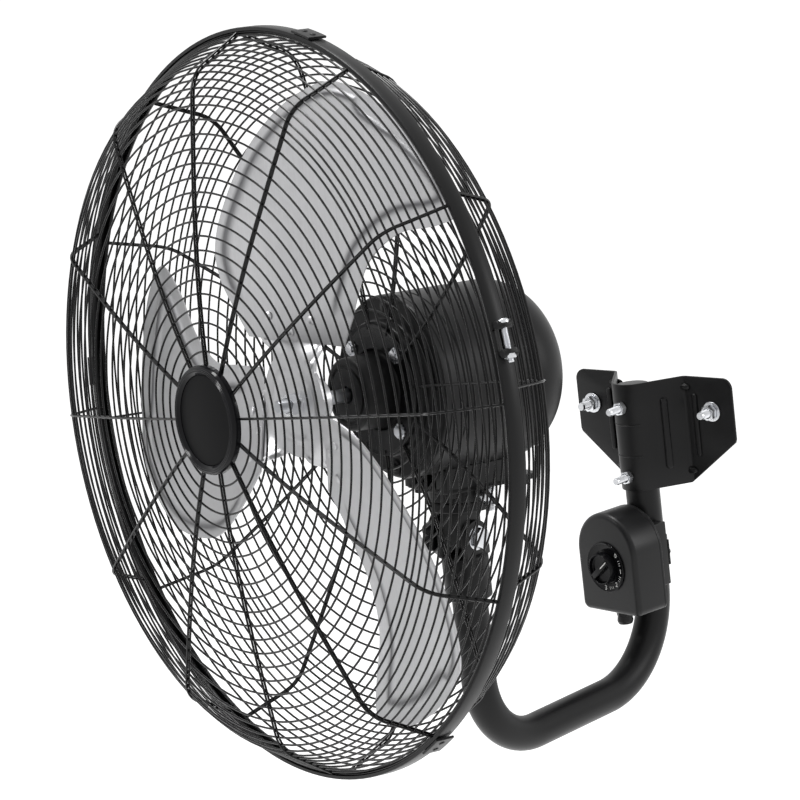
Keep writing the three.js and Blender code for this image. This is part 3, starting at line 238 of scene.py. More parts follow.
def bevelled(bm, edges, width, segments):
    bmesh.ops.bevel(
        bm, geom=edges, offset=width, offset_type="OFFSET", affect="EDGES", segments=segments,
        profile=0.5, material=-1, clamp_overlap=True,
    )
    return bm


def softened(bm, width, segments=3, angle=30):
    """Rounds the edges that turn by more than the angle."""
    bmesh.ops.recalc_face_normals(bm, faces=bm.faces)
    sharp = [e for e in bm.edges if e.is_manifold and e.calc_face_angle() > math.radians(angle)]
    return bevelled(bm, sharp, width, segments)


def stood_up(bm):
    """Swaps Y and Z, for an outline drawn in plan and extruded along its height."""
    bmesh.ops.transform(bm, matrix=Y_AND_Z_SWAPPED, verts=bm.verts)
    return bm


def stacked(rings, steps=48):
    """A shell through rings round Y; each ring gives (radius, y) for an angle from +Z, clockwise."""
    bm = bmesh.new()
    verts = bmesh.ops.create_circle(bm, radius=1, segments=steps)["verts"]
    edges = list({edge for vert in verts for edge in vert.link_edges})
    angles = {vert: math.atan2(vert.co.x, vert.co.y) for vert in verts}
    for number, ring in enumerate(rings):
        if number:
            before = set(verts)
            made = bmesh.ops.extrude_edge_only(bm, edges=edges)["geom"]
            verts = [item for item in made if isinstance(item, bmesh.types.BMVert)]
            fresh = set(verts)
            edges = [
                item for item in made
                if isinstance(item, bmesh.types.BMEdge) and set(item.verts) <= fresh
            ]
            for vert in verts:
                root = next(e.other_vert(vert) for e in vert.link_edges if e.other_vert(vert) in before)
                angles[vert] = angles[root]
        for vert in verts:
            radius, y = ring(angles[vert])
            vert.co = (radius * math.sin(angles[vert]), y, radius * math.cos(angles[vert]))
    bmesh.ops.remove_doubles(bm, verts=bm.verts, dist=2e-6)
    return bm


def hexagon(flats, bore, height):
    """A chamfered nut that stands on y = 0 and rises towards -Y; with no bore it is a bolt's head."""
    def reach(angle):
        return flats / 2 / math.cos((angle % (math.pi / 3)) - math.pi / 6)

    def edge(angle):
        return height - max(reach(angle) - flats * 0.48, 0) * 0.5

    chamfer = 0.7 * MM
    outer = [
        lambda a: (flats * 0.48, 0),
        lambda a: (reach(a), -(height - edge(a))),
        lambda a: (reach(a), -edge(a)),
        lambda a: (flats * 0.46, -height),
    ]
    if not bore:
        return stacked([lambda a: (0, 0), *outer, lambda a: (0, -height)])
    hole = [
        lambda a: (bore / 2 + chamfer, -height),
        lambda a: (bore / 2, -height + chamfer),
        lambda a: (bore / 2, -chamfer),
        lambda a: (bore / 2 + chamfer, 0),
        outer[0],
    ]
    return stacked([*outer, *hole])


def stud(diameter, length, pitch=1.25 * MM, plain=0.0, steps=24):
    """A threaded rod from y = 0 towards -Y, with a chamfered end; the first stretch may be plain."""
    radius = diameter / 2
    root = radius - pitch * 0.5
    outline = [(0, 0), (radius, 0)]
    if plain:
        outline.append((radius, -plain))
    turns = int((length - plain - 0.8 * MM) / pitch)
    for k in range(turns):
        y = -plain - k * pitch
        outline += [(root, y - pitch * 0.5), (radius, y - pitch * 0.9), (radius, y - pitch)]
    outline += [(root, -length), (0, -length)]
    return spun(outline, steps)


def dome_head(radius, height, shank=0.0, shank_length=0.0):
    """A pan head on y = 0, rising towards -Y, with an optional plain shank behind it."""
    outline = [(0, -height)] + [
        (radius * math.sin(a), -height * (0.45 + 0.55 * math.cos(a)))
        for a in [math.pi / 2 * k / 8 for k in range(1, 9)]
    ]
    outline.append((radius, 0))
    if shank:
        outline += [(shank, 0), (shank, shank_length)]
        outline.append((0, shank_length))
    else:
        outline.append((0, 0))
    return spun(outline, 32)


def cross_recess(width, depth):
    """The cross in a screw's head: a star whose foot stands in the dome."""
    arm = width * 0.16
    half = width / 2
    outline = [
        (arm, arm), (arm, half), (-arm, half), (-arm, arm), (-half, arm), (-half, -arm),
        (-arm, -arm), (-arm, -half), (arm, -half), (arm, -arm), (half, -arm), (half, arm),
    ]
    return extruded(outline, -depth, 0)


def wires(paths, radius, resolution=2):
    """Round wires; each path is (points, closed)."""
    curve = bpy.data.curves.new("wires", "CURVE")
    curve.dimensions = "3D"
    curve.bevel_depth = radius
    curve.bevel_resolution = resolution
    curve.use_fill_caps = True
    for points, closed in paths:
        spline = curve.splines.new("POLY")
        spline.points.add(len(points) - 1)
        for spot, point in zip(spline.points, points):
            spot.co = (*point, 1)
        spline.use_cyclic_u = closed
    holder = bpy.data.objects.new("wires", curve)
    bpy.context.collection.objects.link(holder)
    depsgraph = bpy.context.evaluated_depsgraph_get()
    mesh = bpy.data.meshes.new_from_object(holder.evaluated_get(depsgraph))
    bm = bmesh.new()
    bm.from_mesh(mesh)
    bpy.data.objects.remove(holder)
    bpy.data.curves.remove(curve)
    bpy.data.meshes.remove(mesh)
    return bm


def ring_path(radius, y, steps=112):
    angles = [FULL_TURN * k / steps for k in range(steps)]
    return [(radius * math.sin(a), y, radius * math.cos(a)) for a in angles], True


def joined(*shapes):
    """One bmesh of several; a shape is a bmesh, or a bmesh and its place."""
    whole = bmesh.new()
    for shape in shapes:
        bm, place = shape if isinstance(shape, tuple) else (shape, Matrix())
        bmesh.ops.transform(bm, matrix=place, verts=bm.verts)
        carrier = bpy.data.meshes.new("carrier")
        bm.to_mesh(carrier)
        bm.free()
        whole.from_mesh(carrier)
        bpy.data.meshes.remove(carrier)
    return whole


def lettering(text, size, height):
    """Raised characters that face -Y, centred on their place."""
    words = bpy.data.curves.new("lettering", "FONT")
    words.body = text
    words.size = size
    words.extrude = height
    words.resolution_u = 4
    words.align_x = "CENTER"
    words.align_y = "CENTER"
    holder = bpy.data.objects.new("lettering", words)
    bpy.context.collection.objects.link(holder)
    depsgraph = bpy.context.evaluated_depsgraph_get()
    mesh = bpy.data.meshes.new_from_object(holder.evaluated_get(depsgraph))
    bm = bmesh.new()
    bm.from_mesh(mesh)
    bpy.data.objects.remove(holder)
    bpy.data.curves.remove(words)
    bpy.data.meshes.remove(mesh)
    bmesh.ops.transform(bm, matrix=turned(90, "X"), verts=bm.verts)
    return bm


def piece(name, bm, place, body, slot, nodes=(), coat=None, angle=35):
    """Finishes a piece: outside faces out, smooth but for its edges, set in its place on its body."""
    bmesh.ops.remove_doubles(bm, verts=bm.verts, dist=2e-6)
    bmesh.ops.recalc_face_normals(bm, faces=bm.faces)
    bmesh.ops.transform(bm, matrix=place, verts=bm.verts)
    mesh = bpy.data.meshes.new(name)
    bm.to_mesh(mesh)
    bm.free()
    mesh.shade_smooth()
    mesh.set_sharp_from_angle(angle=math.radians(angle))
    mesh.materials.append(paints[coat or slot])
    made = bpy.data.objects.new(name, mesh)
    bpy.context.collection.objects.link(made)
    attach(made, body)
    if nodes:
        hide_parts(*nodes)
    return made


# ---- finishes --------------------------------------------------------------------------------
paints = {}


def node(tree, kind, **values):
    """A shader node with its sockets set by name."""
    made = tree.nodes.new(kind)
    for name, value in values.items():
        setattr(made, name, value)
    return made


def surface_group():
    """Fine relief and its spread of roughness: grain over the whole surface, with a slow drift."""
    tree = bpy.data.node_groups.new("fan_surface", "ShaderNodeTree")
    for name, kind, default in (
        ("Grain", "NodeSocketFloat", 900.0),
        ("Drift", "NodeSocketFloat", 9.0),
        ("Low", "NodeSocketFloat", 0.3),
        ("High", "NodeSocketFloat", 0.45),
    ):
        socket = tree.interface.new_socket(name, in_out="INPUT", socket_type=kind)
        socket.default_value = default
    for name in ("Roughness", "Height", "Drift mask"):
        tree.interface.new_socket(name, in_out="OUTPUT", socket_type="NodeSocketFloat")
    entry = node(tree, "NodeGroupInput")
    leave = node(tree, "NodeGroupOutput")
    place = node(tree, "ShaderNodeTexCoord")
    fine = node(tree, "ShaderNodeTexNoise")
    fine.inputs["Detail"].default_value = 3
    slow = node(tree, "ShaderNodeTexNoise")
    slow.inputs["Detail"].default_value = 4
    spread = node(tree, "ShaderNodeMapRange")
    link = tree.links.new
    link(place.outputs["Object"], fine.inputs["Vector"])
    link(place.outputs["Object"], slow.inputs["Vector"])
    link(entry.outputs["Grain"], fine.inputs["Scale"])
    link(entry.outputs["Drift"], slow.inputs["Scale"])
    link(slow.outputs["Fac"], spread.inputs["Value"])
    link(entry.outputs["Low"], spread.inputs["To Min"])
    link(entry.outputs["High"], spread.inputs["To Max"])
    spread.inputs["From Min"].default_value = 0.3
    spread.inputs["From Max"].default_value = 0.7
    link(spread.outputs["Result"], leave.inputs["Roughness"])
    link(fine.outputs["Fac"], leave.inputs["Height"])
    link(slow.outputs["Fac"], leave.inputs["Drift mask"])
    return tree


def streak_group():
    """Rolling marks: noise drawn out along one direction."""
    tree = bpy.data.node_groups.new("fan_streaks", "ShaderNodeTree")
    for name, default in (("Along", 12.0), ("Across", 700.0)):
        socket = tree.interface.new_socket(name, in_out="INPUT", socket_type="NodeSocketFloat")
        socket.default_value = default
    for name in ("Streak", "Cloud"):
        tree.interface.new_socket(name, in_out="OUTPUT", socket_type="NodeSocketFloat")
    entry = node(tree, "NodeGroupInput")
    leave = node(tree, "NodeGroupOutput")
    place = node(tree, "ShaderNodeTexCoord")
    scale = node(tree, "ShaderNodeCombineXYZ")
    drawn = node(tree, "ShaderNodeVectorMath", operation="MULTIPLY")
    fine = node(tree, "ShaderNodeTexNoise")
    fine.inputs["Scale"].default_value = 1
    fine.inputs["Detail"].default_value = 4
    cloud = node(tree, "ShaderNodeTexNoise")
    cloud.inputs["Scale"].default_value = 14
    cloud.inputs["Detail"].default_value = 3
    link = tree.links.new
    link(entry.outputs["Across"], scale.inputs["X"])
    link(entry.outputs["Across"], scale.inputs["Y"])
    link(entry.outputs["Along"], scale.inputs["Z"])
    link(place.outputs["Object"], drawn.inputs[0])
    link(scale.outputs["Vector"], drawn.inputs[1])
    link(drawn.outputs["Vector"], fine.inputs["Vector"])
    link(place.outputs["Object"], cloud.inputs["Vector"])
    link(fine.outputs["Fac"], leave.inputs["Streak"])
    link(cloud.outputs["Fac"], leave.inputs["Cloud"])
    return tree


def tinted(tree, base, mask, spread):
    """A colour that drifts a little lighter and darker with a mask."""
    mix = node(tree, "ShaderNodeMix", data_type="RGBA")
    mix.inputs["A"].default_value = (*[c * (1 - spread) for c in base], 1)
    mix.inputs["B"].default_value = (*[min(c * (1 + spread), 1) for c in base], 1)
    tree.links.new(mask, mix.inputs["Factor"])
    return mix.outputs["Result"]


def relief(tree, height, distance, strength):
    bump = node(tree, "ShaderNodeBump")
    bump.inputs["Distance"].default_value = distance
    bump.inputs["Strength"].default_value = strength
    tree.links.new(height, bump.inputs["Height"])
    return bump.outputs["Normal"]


def new_material(name, metallic=0.0, specular=0.5):
    material = bpy.data.materials.new(f"{name}_finish")
    paints[name] = material
    material.use_nodes = True
    shader = material.node_tree.nodes["Principled BSDF"]
    shader.inputs["Metallic"].default_value = metallic
    shader.inputs["Specular IOR Level"].default_value = specular
    return material.node_tree, shader


def coated(name, base, low, high, grain, height, specular=0.5, metallic=0.0, spread=0.12):
    """Paint, plastic or plain metal: one colour with its grain, sheen and slow drift."""
    tree, shader = new_material(name, metallic, specular)
    surface = node(tree, "ShaderNodeGroup", node_tree=bpy.data.node_groups["fan_surface"])
    surface.inputs["Grain"].default_value = grain
    surface.inputs["Low"].default_value = low
    surface.inputs["High"].default_value = high
    link = tree.links.new
    link(tinted(tree, base, surface.outputs["Drift mask"], spread), shader.inputs["Base Color"])
    link(surface.outputs["Roughness"], shader.inputs["Roughness"])
    link(relief(tree, surface.outputs["Height"], height, 0.5), shader.inputs["Normal"])


def streaked(name, base, rough, along, across, height, metallic=1.0, spread=0.1, pressed=None):
    """Rolled, ground or wound metal, with marks along Z; pressed is a dark colour painted into the blades'
    beads as shade.
    """
    tree, shader = new_material(name, metallic)
    streaks = node(tree, "ShaderNodeGroup", node_tree=bpy.data.node_groups["fan_streaks"])
    streaks.inputs["Along"].default_value = along
    streaks.inputs["Across"].default_value = across
    span = node(tree, "ShaderNodeMapRange")
    span.inputs["To Min"].default_value = rough * 0.8
    span.inputs["To Max"].default_value = rough * 1.25
    link = tree.links.new
    link(streaks.outputs["Cloud"], span.inputs["Value"])
    link(span.outputs["Result"], shader.inputs["Roughness"])
    tint = tinted(tree, base, streaks.outputs["Streak"], spread)
    if pressed:
        # painted shade: the blades' bead attribute mixes the colour towards the dark pressed colour
        mask = node(tree, "ShaderNodeAttribute", attribute_name="pressed")
        mix = node(tree, "ShaderNodeMix", data_type="RGBA")
        mix.inputs["B"].default_value = (*pressed, 1)
        link(mask.outputs["Fac"], mix.inputs["Factor"])
        link(tint, mix.inputs["A"])
        tint = mix.outputs["Result"]
    link(tint, shader.inputs["Base Color"])
    link(relief(tree, streaks.outputs["Streak"], height, 0.3), shader.inputs["Normal"])


class FAN_OT_finishes(bpy.types.Operator):
    """Makes the finishes, one material for each"""

    bl_idname = "fan.finishes"
    bl_label = "Finishes"

    def execute(self, context):
        tone = context.scene.fan_colours
        surface_group()
        streak_group()
        coated("black_coat", tone.coat, 0.34, 0.44, 1500, 0.00003, specular=0.2)
        coated("black_wire", tone.wire, 0.2, 0.3, 1200, 0.00002, specular=0.2)
        coated("black_plastic", tone.box, 0.34, 0.42, 2600, 0.00002, specular=0.25)
        coated("gloss_black_plastic", tone.gloss, 0.1, 0.16, 300, 0.00001, specular=0.12)
        coated("cap_plastic", tone.cap, 0.42, 0.5, 2600, 0.00002, specular=0.04)
        coated("zinc_plate", tone.zinc, 0.2, 0.34, 1400, 0.00003, metallic=1.0, spread=0.2)
        coated("pale_plastic", tone.pale, 0.4, 0.5, 1200, 0.00001, spread=0.03)
        # the blades' aluminium carries painted shade in its beads
        streaked("blade_aluminium", tone.aluminium, 0.34, 14, 900, 0.00002, pressed=tone.pressed)
        streaked("machined_steel", tone.steel, 0.3, 900, 60, 0.00002)
        streaked("laminated_steel", tone.lamination, 0.5, 40, 1400, 0.0001, metallic=0.8, spread=0.3)
        streaked("copper_winding", tone.copper, 0.35, 500, 90, 0.0003, spread=0.4)
        return {"FINISHED"}


# ---- wall bracket, tube and fasteners ----------------------------------------------------------
PLATE = 2.5 * MM
BRACKET_TOP = 32 * MM
BRACKET_BOTTOM = -70 * MM
FOLD_HALF = 39 * MM
WING_LEFT = 49 * MM
WING_RIGHT = 55 * MM
WING_EDGE = 60 * MM
WING_CORNER = 10 * MM
BOLT_HALF = 70 * MM
NOSE_IN = TUBE_R + 0.4 * MM
NOSE_OUT = NOSE_IN + PLATE
NOSE_FACE = -TUBE_FROM_WALL - NOSE_OUT
SLANT = math.degrees(math.atan2(TUBE_FROM_WALL, FOLD_HALF)) + math.degrees(
    math.asin(NOSE_IN / math.hypot(FOLD_HALF, TUBE_FROM_WALL))
)
CLAMP_HEIGHTS = {"upper": 10 * MM, "lower": -56 * MM}
WALL_BOLT_OUT = 22 * MM
CLAMP_OUT = 20 * MM


def hat_line(offset):
    """The bracket's folded line in plan, offset to the front of its back face."""
    fold = FOLD_HALF + offset * math.tan(math.radians(SLANT / 2))
    nose = arc(0, -TUBE_FROM_WALL, NOSE_IN + offset, SLANT - 90, -90 - SLANT, 28)
    line = [(FOLD_HALF + WING_RIGHT, -offset), (fold, -offset), *nose, (-fold, -offset),
            (-FOLD_HALF - WING_LEFT, -offset)]
    radii = [0, 5 * MM, *[0] * len(nose), 5 * MM, 0]
    return rounded(line, radii, 6, closed=False)


def trim(bm, point, out):
    """Cuts off what lies past a point in the direction given."""
    geom = bm.verts[:] + bm.edges[:] + bm.faces[:]
    bmesh.ops.bisect_plane(bm, geom=geom, dist=1e-7, plane_co=point, plane_no=out, clear_outer=True)


def bracket_sheet():
    """The bracket's mid surface: the folded line drawn up, then trimmed to the wings' outline."""
    bm = bmesh.new()
    verts = [bm.verts.new((x, y, BRACKET_BOTTOM)) for x, y in hat_line(PLATE / 2)]
    edges = [bm.edges.new(pair) for pair in zip(verts, verts[1:])]
    for _ in range(4):
        made = bmesh.ops.extrude_edge_only(bm, edges=edges)["geom"]
        fresh = [item for item in made if isinstance(item, bmesh.types.BMVert)]
        bmesh.ops.translate(bm, vec=(0, 0, (BRACKET_TOP - BRACKET_BOTTOM) / 4), verts=fresh)
        edges = [e for e in made if isinstance(e, bmesh.types.BMEdge) and set(e.verts) <= set(fresh)]
    for side, wing in ((1, WING_RIGHT), (-1, WING_LEFT)):
        edge = side * (FOLD_HALF + wing)
        rise = BRACKET_TOP - WING_EDGE - BRACKET_BOTTOM
        trim(bm, (edge, 0, BRACKET_TOP - WING_EDGE), (side * rise, 0, -wing))
        centre = Vector((edge - side * WING_CORNER, 0, BRACKET_TOP - WING_CORNER))
        for k in range(1, 8):
            angle = math.pi / 2 * k / 8
            out = Vector((side * math.sin(angle), 0, math.cos(angle)))
            trim(bm, centre + out * WING_CORNER, out)
        foot = Vector((edge - side * 3 * MM, 0, BRACKET_TOP - WING_EDGE + 1 * MM))
        out = Vector((side, 0, -0.35)).normalized()
        trim(bm, foot + out * 2.4 * MM, out)
    return bm


def thickened(bm, thickness, soft):
    """A sheet as a plate of that thickness, its middle where the sheet was."""
    bmesh.ops.recalc_face_normals(bm, faces=bm.faces)
    for vert in bm.verts:
        vert.co += vert.normal * (thickness / 2)
    bmesh.ops.solidify(bm, geom=bm.faces[:], thickness=thickness)
    return softened(bm, soft, segments=2, angle=50)


def rib(length_, width, height):
    """A pressed rib with round ends, standing on y = 0 and rising towards -Y, upright."""
    half = width / 2
    straight = length_ / 2 - half
    outline = [*arc(0, straight, half, 0, 180, 10), *arc(0, -straight, half, 180, 360, 10)]
    bm = extruded(outline, SINK, -height)
    front = [e for e in bm.edges if all(v.co.y < 0 for v in e.verts)]
    return bevelled(bm, front, height * 0.7, 3)


def slant_place(side, share, z):
    """A place on the bracket's slanted wall, share of the way from the fold to the nose."""
    turn = math.radians(SLANT)
    fold = Vector((side * FOLD_HALF, 0, 0))
    along = Vector((-side * math.cos(turn), -math.sin(turn), 0))
    out = Vector((side * math.sin(turn), -math.cos(turn), 0))
    reach = math.sqrt(FOLD_HALF**2 + TUBE_FROM_WALL**2 - NOSE_IN**2)
    spot = fold + along * reach * share + out * PLATE + Vector((0, 0, z))
    return place_at(spot, out, (0, 0, 1))


def lip(z):
    """A pressed lip across the nose."""
    angles = [math.radians(-150 + 110 * k / 16) for k in range(17)]
    reach = NOSE_OUT - 0.3 * MM
    return wires([([(reach * math.cos(a), reach * math.sin(a) - TUBE_FROM_WALL, z) for a in angles], False)],
                 0.9 * MM)


class FAN_OT_bracket(bpy.types.Operator):
    """Makes the folded wall bracket with its pressed ribs"""

    bl_idname = "fan.bracket"
    bl_label = "Wall bracket"

    def execute(self, context):
        gusset = Matrix.Diagonal((8 * MM, 2.2 * MM, 3.4 * MM, 1))
        dents = []
        for side in (-1, 1):
            for z in (22 * MM, -58 * MM):
                bm = bmesh.new()
                spot = Matrix.Translation((side * FOLD_HALF, -PLATE - 1.2 * MM, z))
                bmesh.ops.create_uvsphere(bm, u_segments=20, v_segments=12, radius=1, matrix=spot @ gusset)
                dents.append(bm)
        shapes = [
            thickened(bracket_sheet(), PLATE, 0.5 * MM),
            (rib(68 * MM, 7 * MM, 2.4 * MM), slant_place(1, 0.5, -19 * MM)),
            (rib(58 * MM, 6 * MM, 2.2 * MM), slant_place(-1, 0.22, -14 * MM)),
            (rib(60 * MM, 5.5 * MM, 2.2 * MM), Matrix.Translation((FOLD_HALF + 12 * MM, -PLATE, -14 * MM))),
            (rib(60 * MM, 5.5 * MM, 2.2 * MM), Matrix.Translation((-FOLD_HALF - 10 * MM, -PLATE, -14 * MM))),
            lip(-7 * MM),
            lip(-37 * MM),
            *dents,
        ]
        piece("bracket_plate", joined(*shapes), Matrix(), "wall_side", "black_coat", ["wall_bracket"])
        return {"FINISHED"}


def washer(outer, bore, thickness):
    """A washer that stands on y = 0 and rises towards -Y."""
    corners = [(bore / 2, 0), (outer / 2, 0), (outer / 2, -thickness), (bore / 2, -thickness)]
    return spun(rounded(corners, 0.35 * MM, 3), 48, closed=True)


def toothed_washer(outer, bore, thickness, teeth=12):
    """A lock washer: a ring whose rim is cut into twisted teeth."""
    def rim(angle, lift):
        wave = math.cos(teeth * angle)
        return outer / 2 * (0.93 + 0.07 * wave), lift - thickness * 0.35 * math.sin(teeth * angle)

    rings = [
        lambda a: (bore / 2, 0),
        lambda a: (outer * 0.36, 0),
        lambda a: rim(a, 0),
        lambda a: rim(a, -thickness),
        lambda a: (outer * 0.36, -thickness),
        lambda a: (bore / 2, -thickness),
        lambda a: (bore / 2, 0),
    ]
    return stacked(rings, teeth * 6)


class FAN_OT_fasteners(bpy.types.Operator):
    """Makes the wall bolts, the clamp bolts, and their nuts and washers"""

    bl_idname = "fan.fasteners"
    bl_label = "Bracket fasteners"

    def execute(self, context):
        for side, x in (("left", -BOLT_HALF), ("right", BOLT_HALF)):
            spot = Matrix.Translation((x, 0, 0))
            seat = -PLATE - TOUCH
            nut_seat = seat - 1.6 * MM - TOUCH
            piece(f"wall_stud_{side}", stud(8 * MM, WALL_BOLT_OUT), spot, "wall_side", "zinc_plate",
                  [f"wall_bolt_{side}"])
            piece(f"flat_washer_{side}", washer(19 * MM, 8.6 * MM, 1.6 * MM), spot @ along_y(seat),
                  "wall_side", "zinc_plate", [f"wall_washer_{side}"])
            piece(f"hex_nut_{side}", hexagon(13 * MM, 8.4 * MM, 6.5 * MM),
                  spot @ along_y(nut_seat) @ turned(11), "wall_side", "zinc_plate", [f"wall_nut_{side}"])
        head_seat = -TUBE_FROM_WALL + TUBE_R + TOUCH
        for name, z in CLAMP_HEIGHTS.items():
            spot = Matrix.Translation((0, 0, z))
            shank = stud(7 * MM, head_seat - NOSE_FACE + CLAMP_OUT, plain=30 * MM)
            head = hexagon(11 * MM, 0, 4 * MM)
            bolt = joined((shank, along_y(head_seat + 0.1 * MM)), (head, along_y(head_seat + 4 * MM)))
            piece(f"clamp_screw_{name}", bolt, spot, "wall_side", "zinc_plate", [f"clamp_bolt_{name}"])
            nut = hexagon(11 * MM, 7.4 * MM, 5.5 * MM)
            piece(f"clamp_hex_{name}", nut, spot @ along_y(NOSE_FACE - TOUCH) @ turned(19), "wall_side",
                  "zinc_plate", [f"clamp_nut_{name}"])
        return {"FINISHED"}


def ring_edges(bm, radius, place):
    made = bmesh.ops.create_circle(bm, radius=radius, segments=48, matrix=place)
    return list({edge for vert in made["verts"] for edge in vert.link_edges})


def pipe(radius, start, legs):
    """A round skin from a start place; a leg is a straight move or a bend (centre, degrees)."""
    bm = bmesh.new()
    edges = ring_edges(bm, radius, start)
    for leg in legs:
        if isinstance(leg, Vector):
            made = bmesh.ops.extrude_edge_only(bm, edges=edges)["geom"]
            fresh = [item for item in made if isinstance(item, bmesh.types.BMVert)]
            bmesh.ops.translate(bm, vec=leg, verts=fresh)
        else:
            centre, angle = leg
            made = bmesh.ops.spin(
                bm, geom=edges, cent=centre, axis=(1, 0, 0), angle=math.radians(angle), steps=24,
                use_merge=False,
            )["geom_last"]
            fresh = [item for item in made if isinstance(item, bmesh.types.BMVert)]
        last = set(fresh)
        edges = [e for v in fresh for e in v.link_edges if set(e.verts) <= last]
        edges = list(dict.fromkeys(edges))
    return bm


class FAN_OT_arm(bpy.types.Operator):
    """Makes the bent arm tube and the plug in its upper end"""

    bl_idname = "fan.arm"
    bl_label = "Arm"

    def execute(self, context):
        wall_y = -TUBE_FROM_WALL
        head_y = wall_y - ARM_REACH
        bottom = -ARM_DROP
        start = Matrix.Translation((0, wall_y, TUBE_TOP))
        legs = [
            Vector((0, 0, bottom + WALL_BEND - TUBE_TOP)),
            (Vector((0, wall_y - WALL_BEND, bottom + WALL_BEND)), -90),
            Vector((0, head_y + HEAD_BEND - (wall_y - WALL_BEND), 0)),
            (Vector((0, head_y + HEAD_BEND, bottom + HEAD_BEND)), -90),
            Vector((0, 0, TUBE_HEAD_END - bottom - HEAD_BEND)),
        ]
        bm = joined(pipe(TUBE_R, start, legs), pipe(TUBE_BORE_R, start, legs))
        rims = [edge for edge in bm.edges if edge.is_boundary]
        for top in (True, False):
            pair = [e for e in rims if (e.verts[0].co.y > -ARM_REACH / 2) == top]
            bmesh.ops.bridge_loops(bm, edges=pair)
        piece("arm_pipe", bm, Matrix(), "wall_side", "black_coat", ["arm_tube"])
        outline = rounded(
            [(0, TUBE_TOP - 8 * MM), (13.1 * MM, TUBE_TOP - 8 * MM), (13.1 * MM, TUBE_TOP + TOUCH),
             (TUBE_R, TUBE_TOP + TOUCH), (TUBE_R, TUBE_TOP + 2.3 * MM), (0, TUBE_TOP + 2.3 * MM)],
            [0, 1 * MM, 0, 0.4 * MM, 1.2 * MM, 0], 4)
        piece("plug_cap", spun(outline, 64), TUBE @ turned(90, "X"), "wall_side", "black_plastic",
              ["tube_plug"])
        return {"FINISHED"}


# ---- switch box --------------------------------------------------------------------------------
BOX_W = 76 * MM
BOX_H = 96 * MM
BOX_DEPTH = 34 * MM
BOX_COVER_T = 3 * MM
SADDLE_W = 52 * MM
SADDLE_H = 60 * MM
STRAP_H = 24 * MM
STRAP_T = 2 * MM
GLAND_R = 8 * MM
GLAND_L = 14 * MM
GLAND_Y = -BOX_FRONT + BOX_DEPTH / 2
DIAL_R = 24 * MM
DIAL_T = 1.2 * MM
KNOB_R = 15 * MM
DIAL_BORE_R = KNOB_R + MM
KNOB_H = 9 * MM
KNOB_FLOOR = 5 * MM
KNOB_TURN = 50  # degrees from upright, clockwise, where the knob rests
DIAL_STEP = 45
SPEEDS = 4


def arch(inset, corner):
    """The box's outline in x and z: round top, rounded foot."""
    half = BOX_W / 2 - inset
    shoulder = BOX_H - inset - half
    foot = [(-half, shoulder), (-half, inset), (half, inset), (half, shoulder)]
    foot = rounded(foot, corner, 5, closed=False)
    return [(p[0], p[1]) for p in foot] + arc(0, shoulder, half, 0, 180, 40)[1:-1]


class FAN_OT_switch_box(bpy.types.Operator):
    """Makes the switch box: housing, back cover with its saddle, strap, screws and gland"""

    bl_idname = "fan.switch_box"
    bl_label = "Switch box"

    def execute(self, context):
        back = -BOX_FRONT + BOX_DEPTH
        housing = extruded(arch(0, 7 * MM), -BOX_FRONT, back)
        front = [e for e in housing.edges if all(v.co.y < -BOX_FRONT + MM for v in e.verts)]
        bevelled(housing, front, 5 * MM, 7)
        piece("box_shell", housing, BOX, "wall_side", "black_plastic", ["switch_box_housing"], angle=50)
        cover = softened(extruded(arch(0, 7 * MM), back + TOUCH, back + TOUCH + BOX_COVER_T), 0.7 * MM)
        middle = BOX_H / 2
        seat = TUBE_R + 0.4 * MM
        cheek = [
            (-SADDLE_W / 2, back + TOUCH + 1 * MM), (SADDLE_W / 2, back + TOUCH + 1 * MM),
            (SADDLE_W / 2, 0), *arc(0, 0, seat, 0, -180, 32), (-SADDLE_W / 2, 0),
        ]
        saddle = stood_up(extruded(cheek, middle - SADDLE_H / 2, middle + SADDLE_H / 2))
        whole = joined(cover, softened(saddle, 0.8 * MM, angle=40))
        piece("box_back", whole, BOX, "wall_side", "black_plastic", ["switch_box_cover"])
        self.strap(middle, seat)
        outline = rounded(
            [(GLAND_R / 2, -GLAND_L), (GLAND_R * 0.8, -GLAND_L), (GLAND_R * 0.95, -GLAND_L + 3 * MM),
             (GLAND_R * 0.75, -TOUCH), (GLAND_R * 0.75, 5 * MM), (GLAND_R / 2, 5 * MM)], 0.6 * MM, 3)
        nut = (hexagon(1.72 * GLAND_R, 1.3 * GLAND_R, 6 * MM), along_y(-TOUCH))
        place = BOX @ Matrix.Translation((0, GLAND_Y, 0)) @ turned(90, "X")
        piece("gland_body", joined(spun(outline, 48, closed=True), nut), place, "wall_side", "black_plastic",
              ["cable_gland"])
        return {"FINISHED"}

    def strap(self, middle, seat):
        half = SADDLE_W / 2
        inner = [(half, TOUCH), (seat, TOUCH), *arc(0, 0, seat, 4, 176, 32), (-seat, TOUCH), (-half, TOUCH)]
        outer = [(-half, TOUCH + STRAP_T), (-seat - STRAP_T, TOUCH + STRAP_T),
                 *arc(0, 0, seat + STRAP_T, 172, 8, 32), (seat + STRAP_T, TOUCH + STRAP_T),
                 (half, TOUCH + STRAP_T)]
        bm = stood_up(extruded(inner + outer, middle - STRAP_H / 2, middle + STRAP_H / 2))
        piece("strap_band", softened(bm, 0.4 * MM, segments=2, angle=50), BOX, "wall_side", "black_coat",
              ["switch_box_strap"])
        for side, name in ((-1, "left"), (1, "right")):
            x = side * (half + seat + STRAP_T) / 2
            spot = BOX @ Matrix.Translation((x, 2 * TOUCH + STRAP_T, middle)) @ turned(180, "Z")
            cross = (cross_recess(3.2 * MM, 0.2 * MM), along_y(-2.3 * MM))
            screw = joined(dome_head(3 * MM, 2.4 * MM), cross)
            piece(f"strap_bolt_{name}", screw, spot, "wall_side", "black_coat", [f"strap_screw_{name}"])


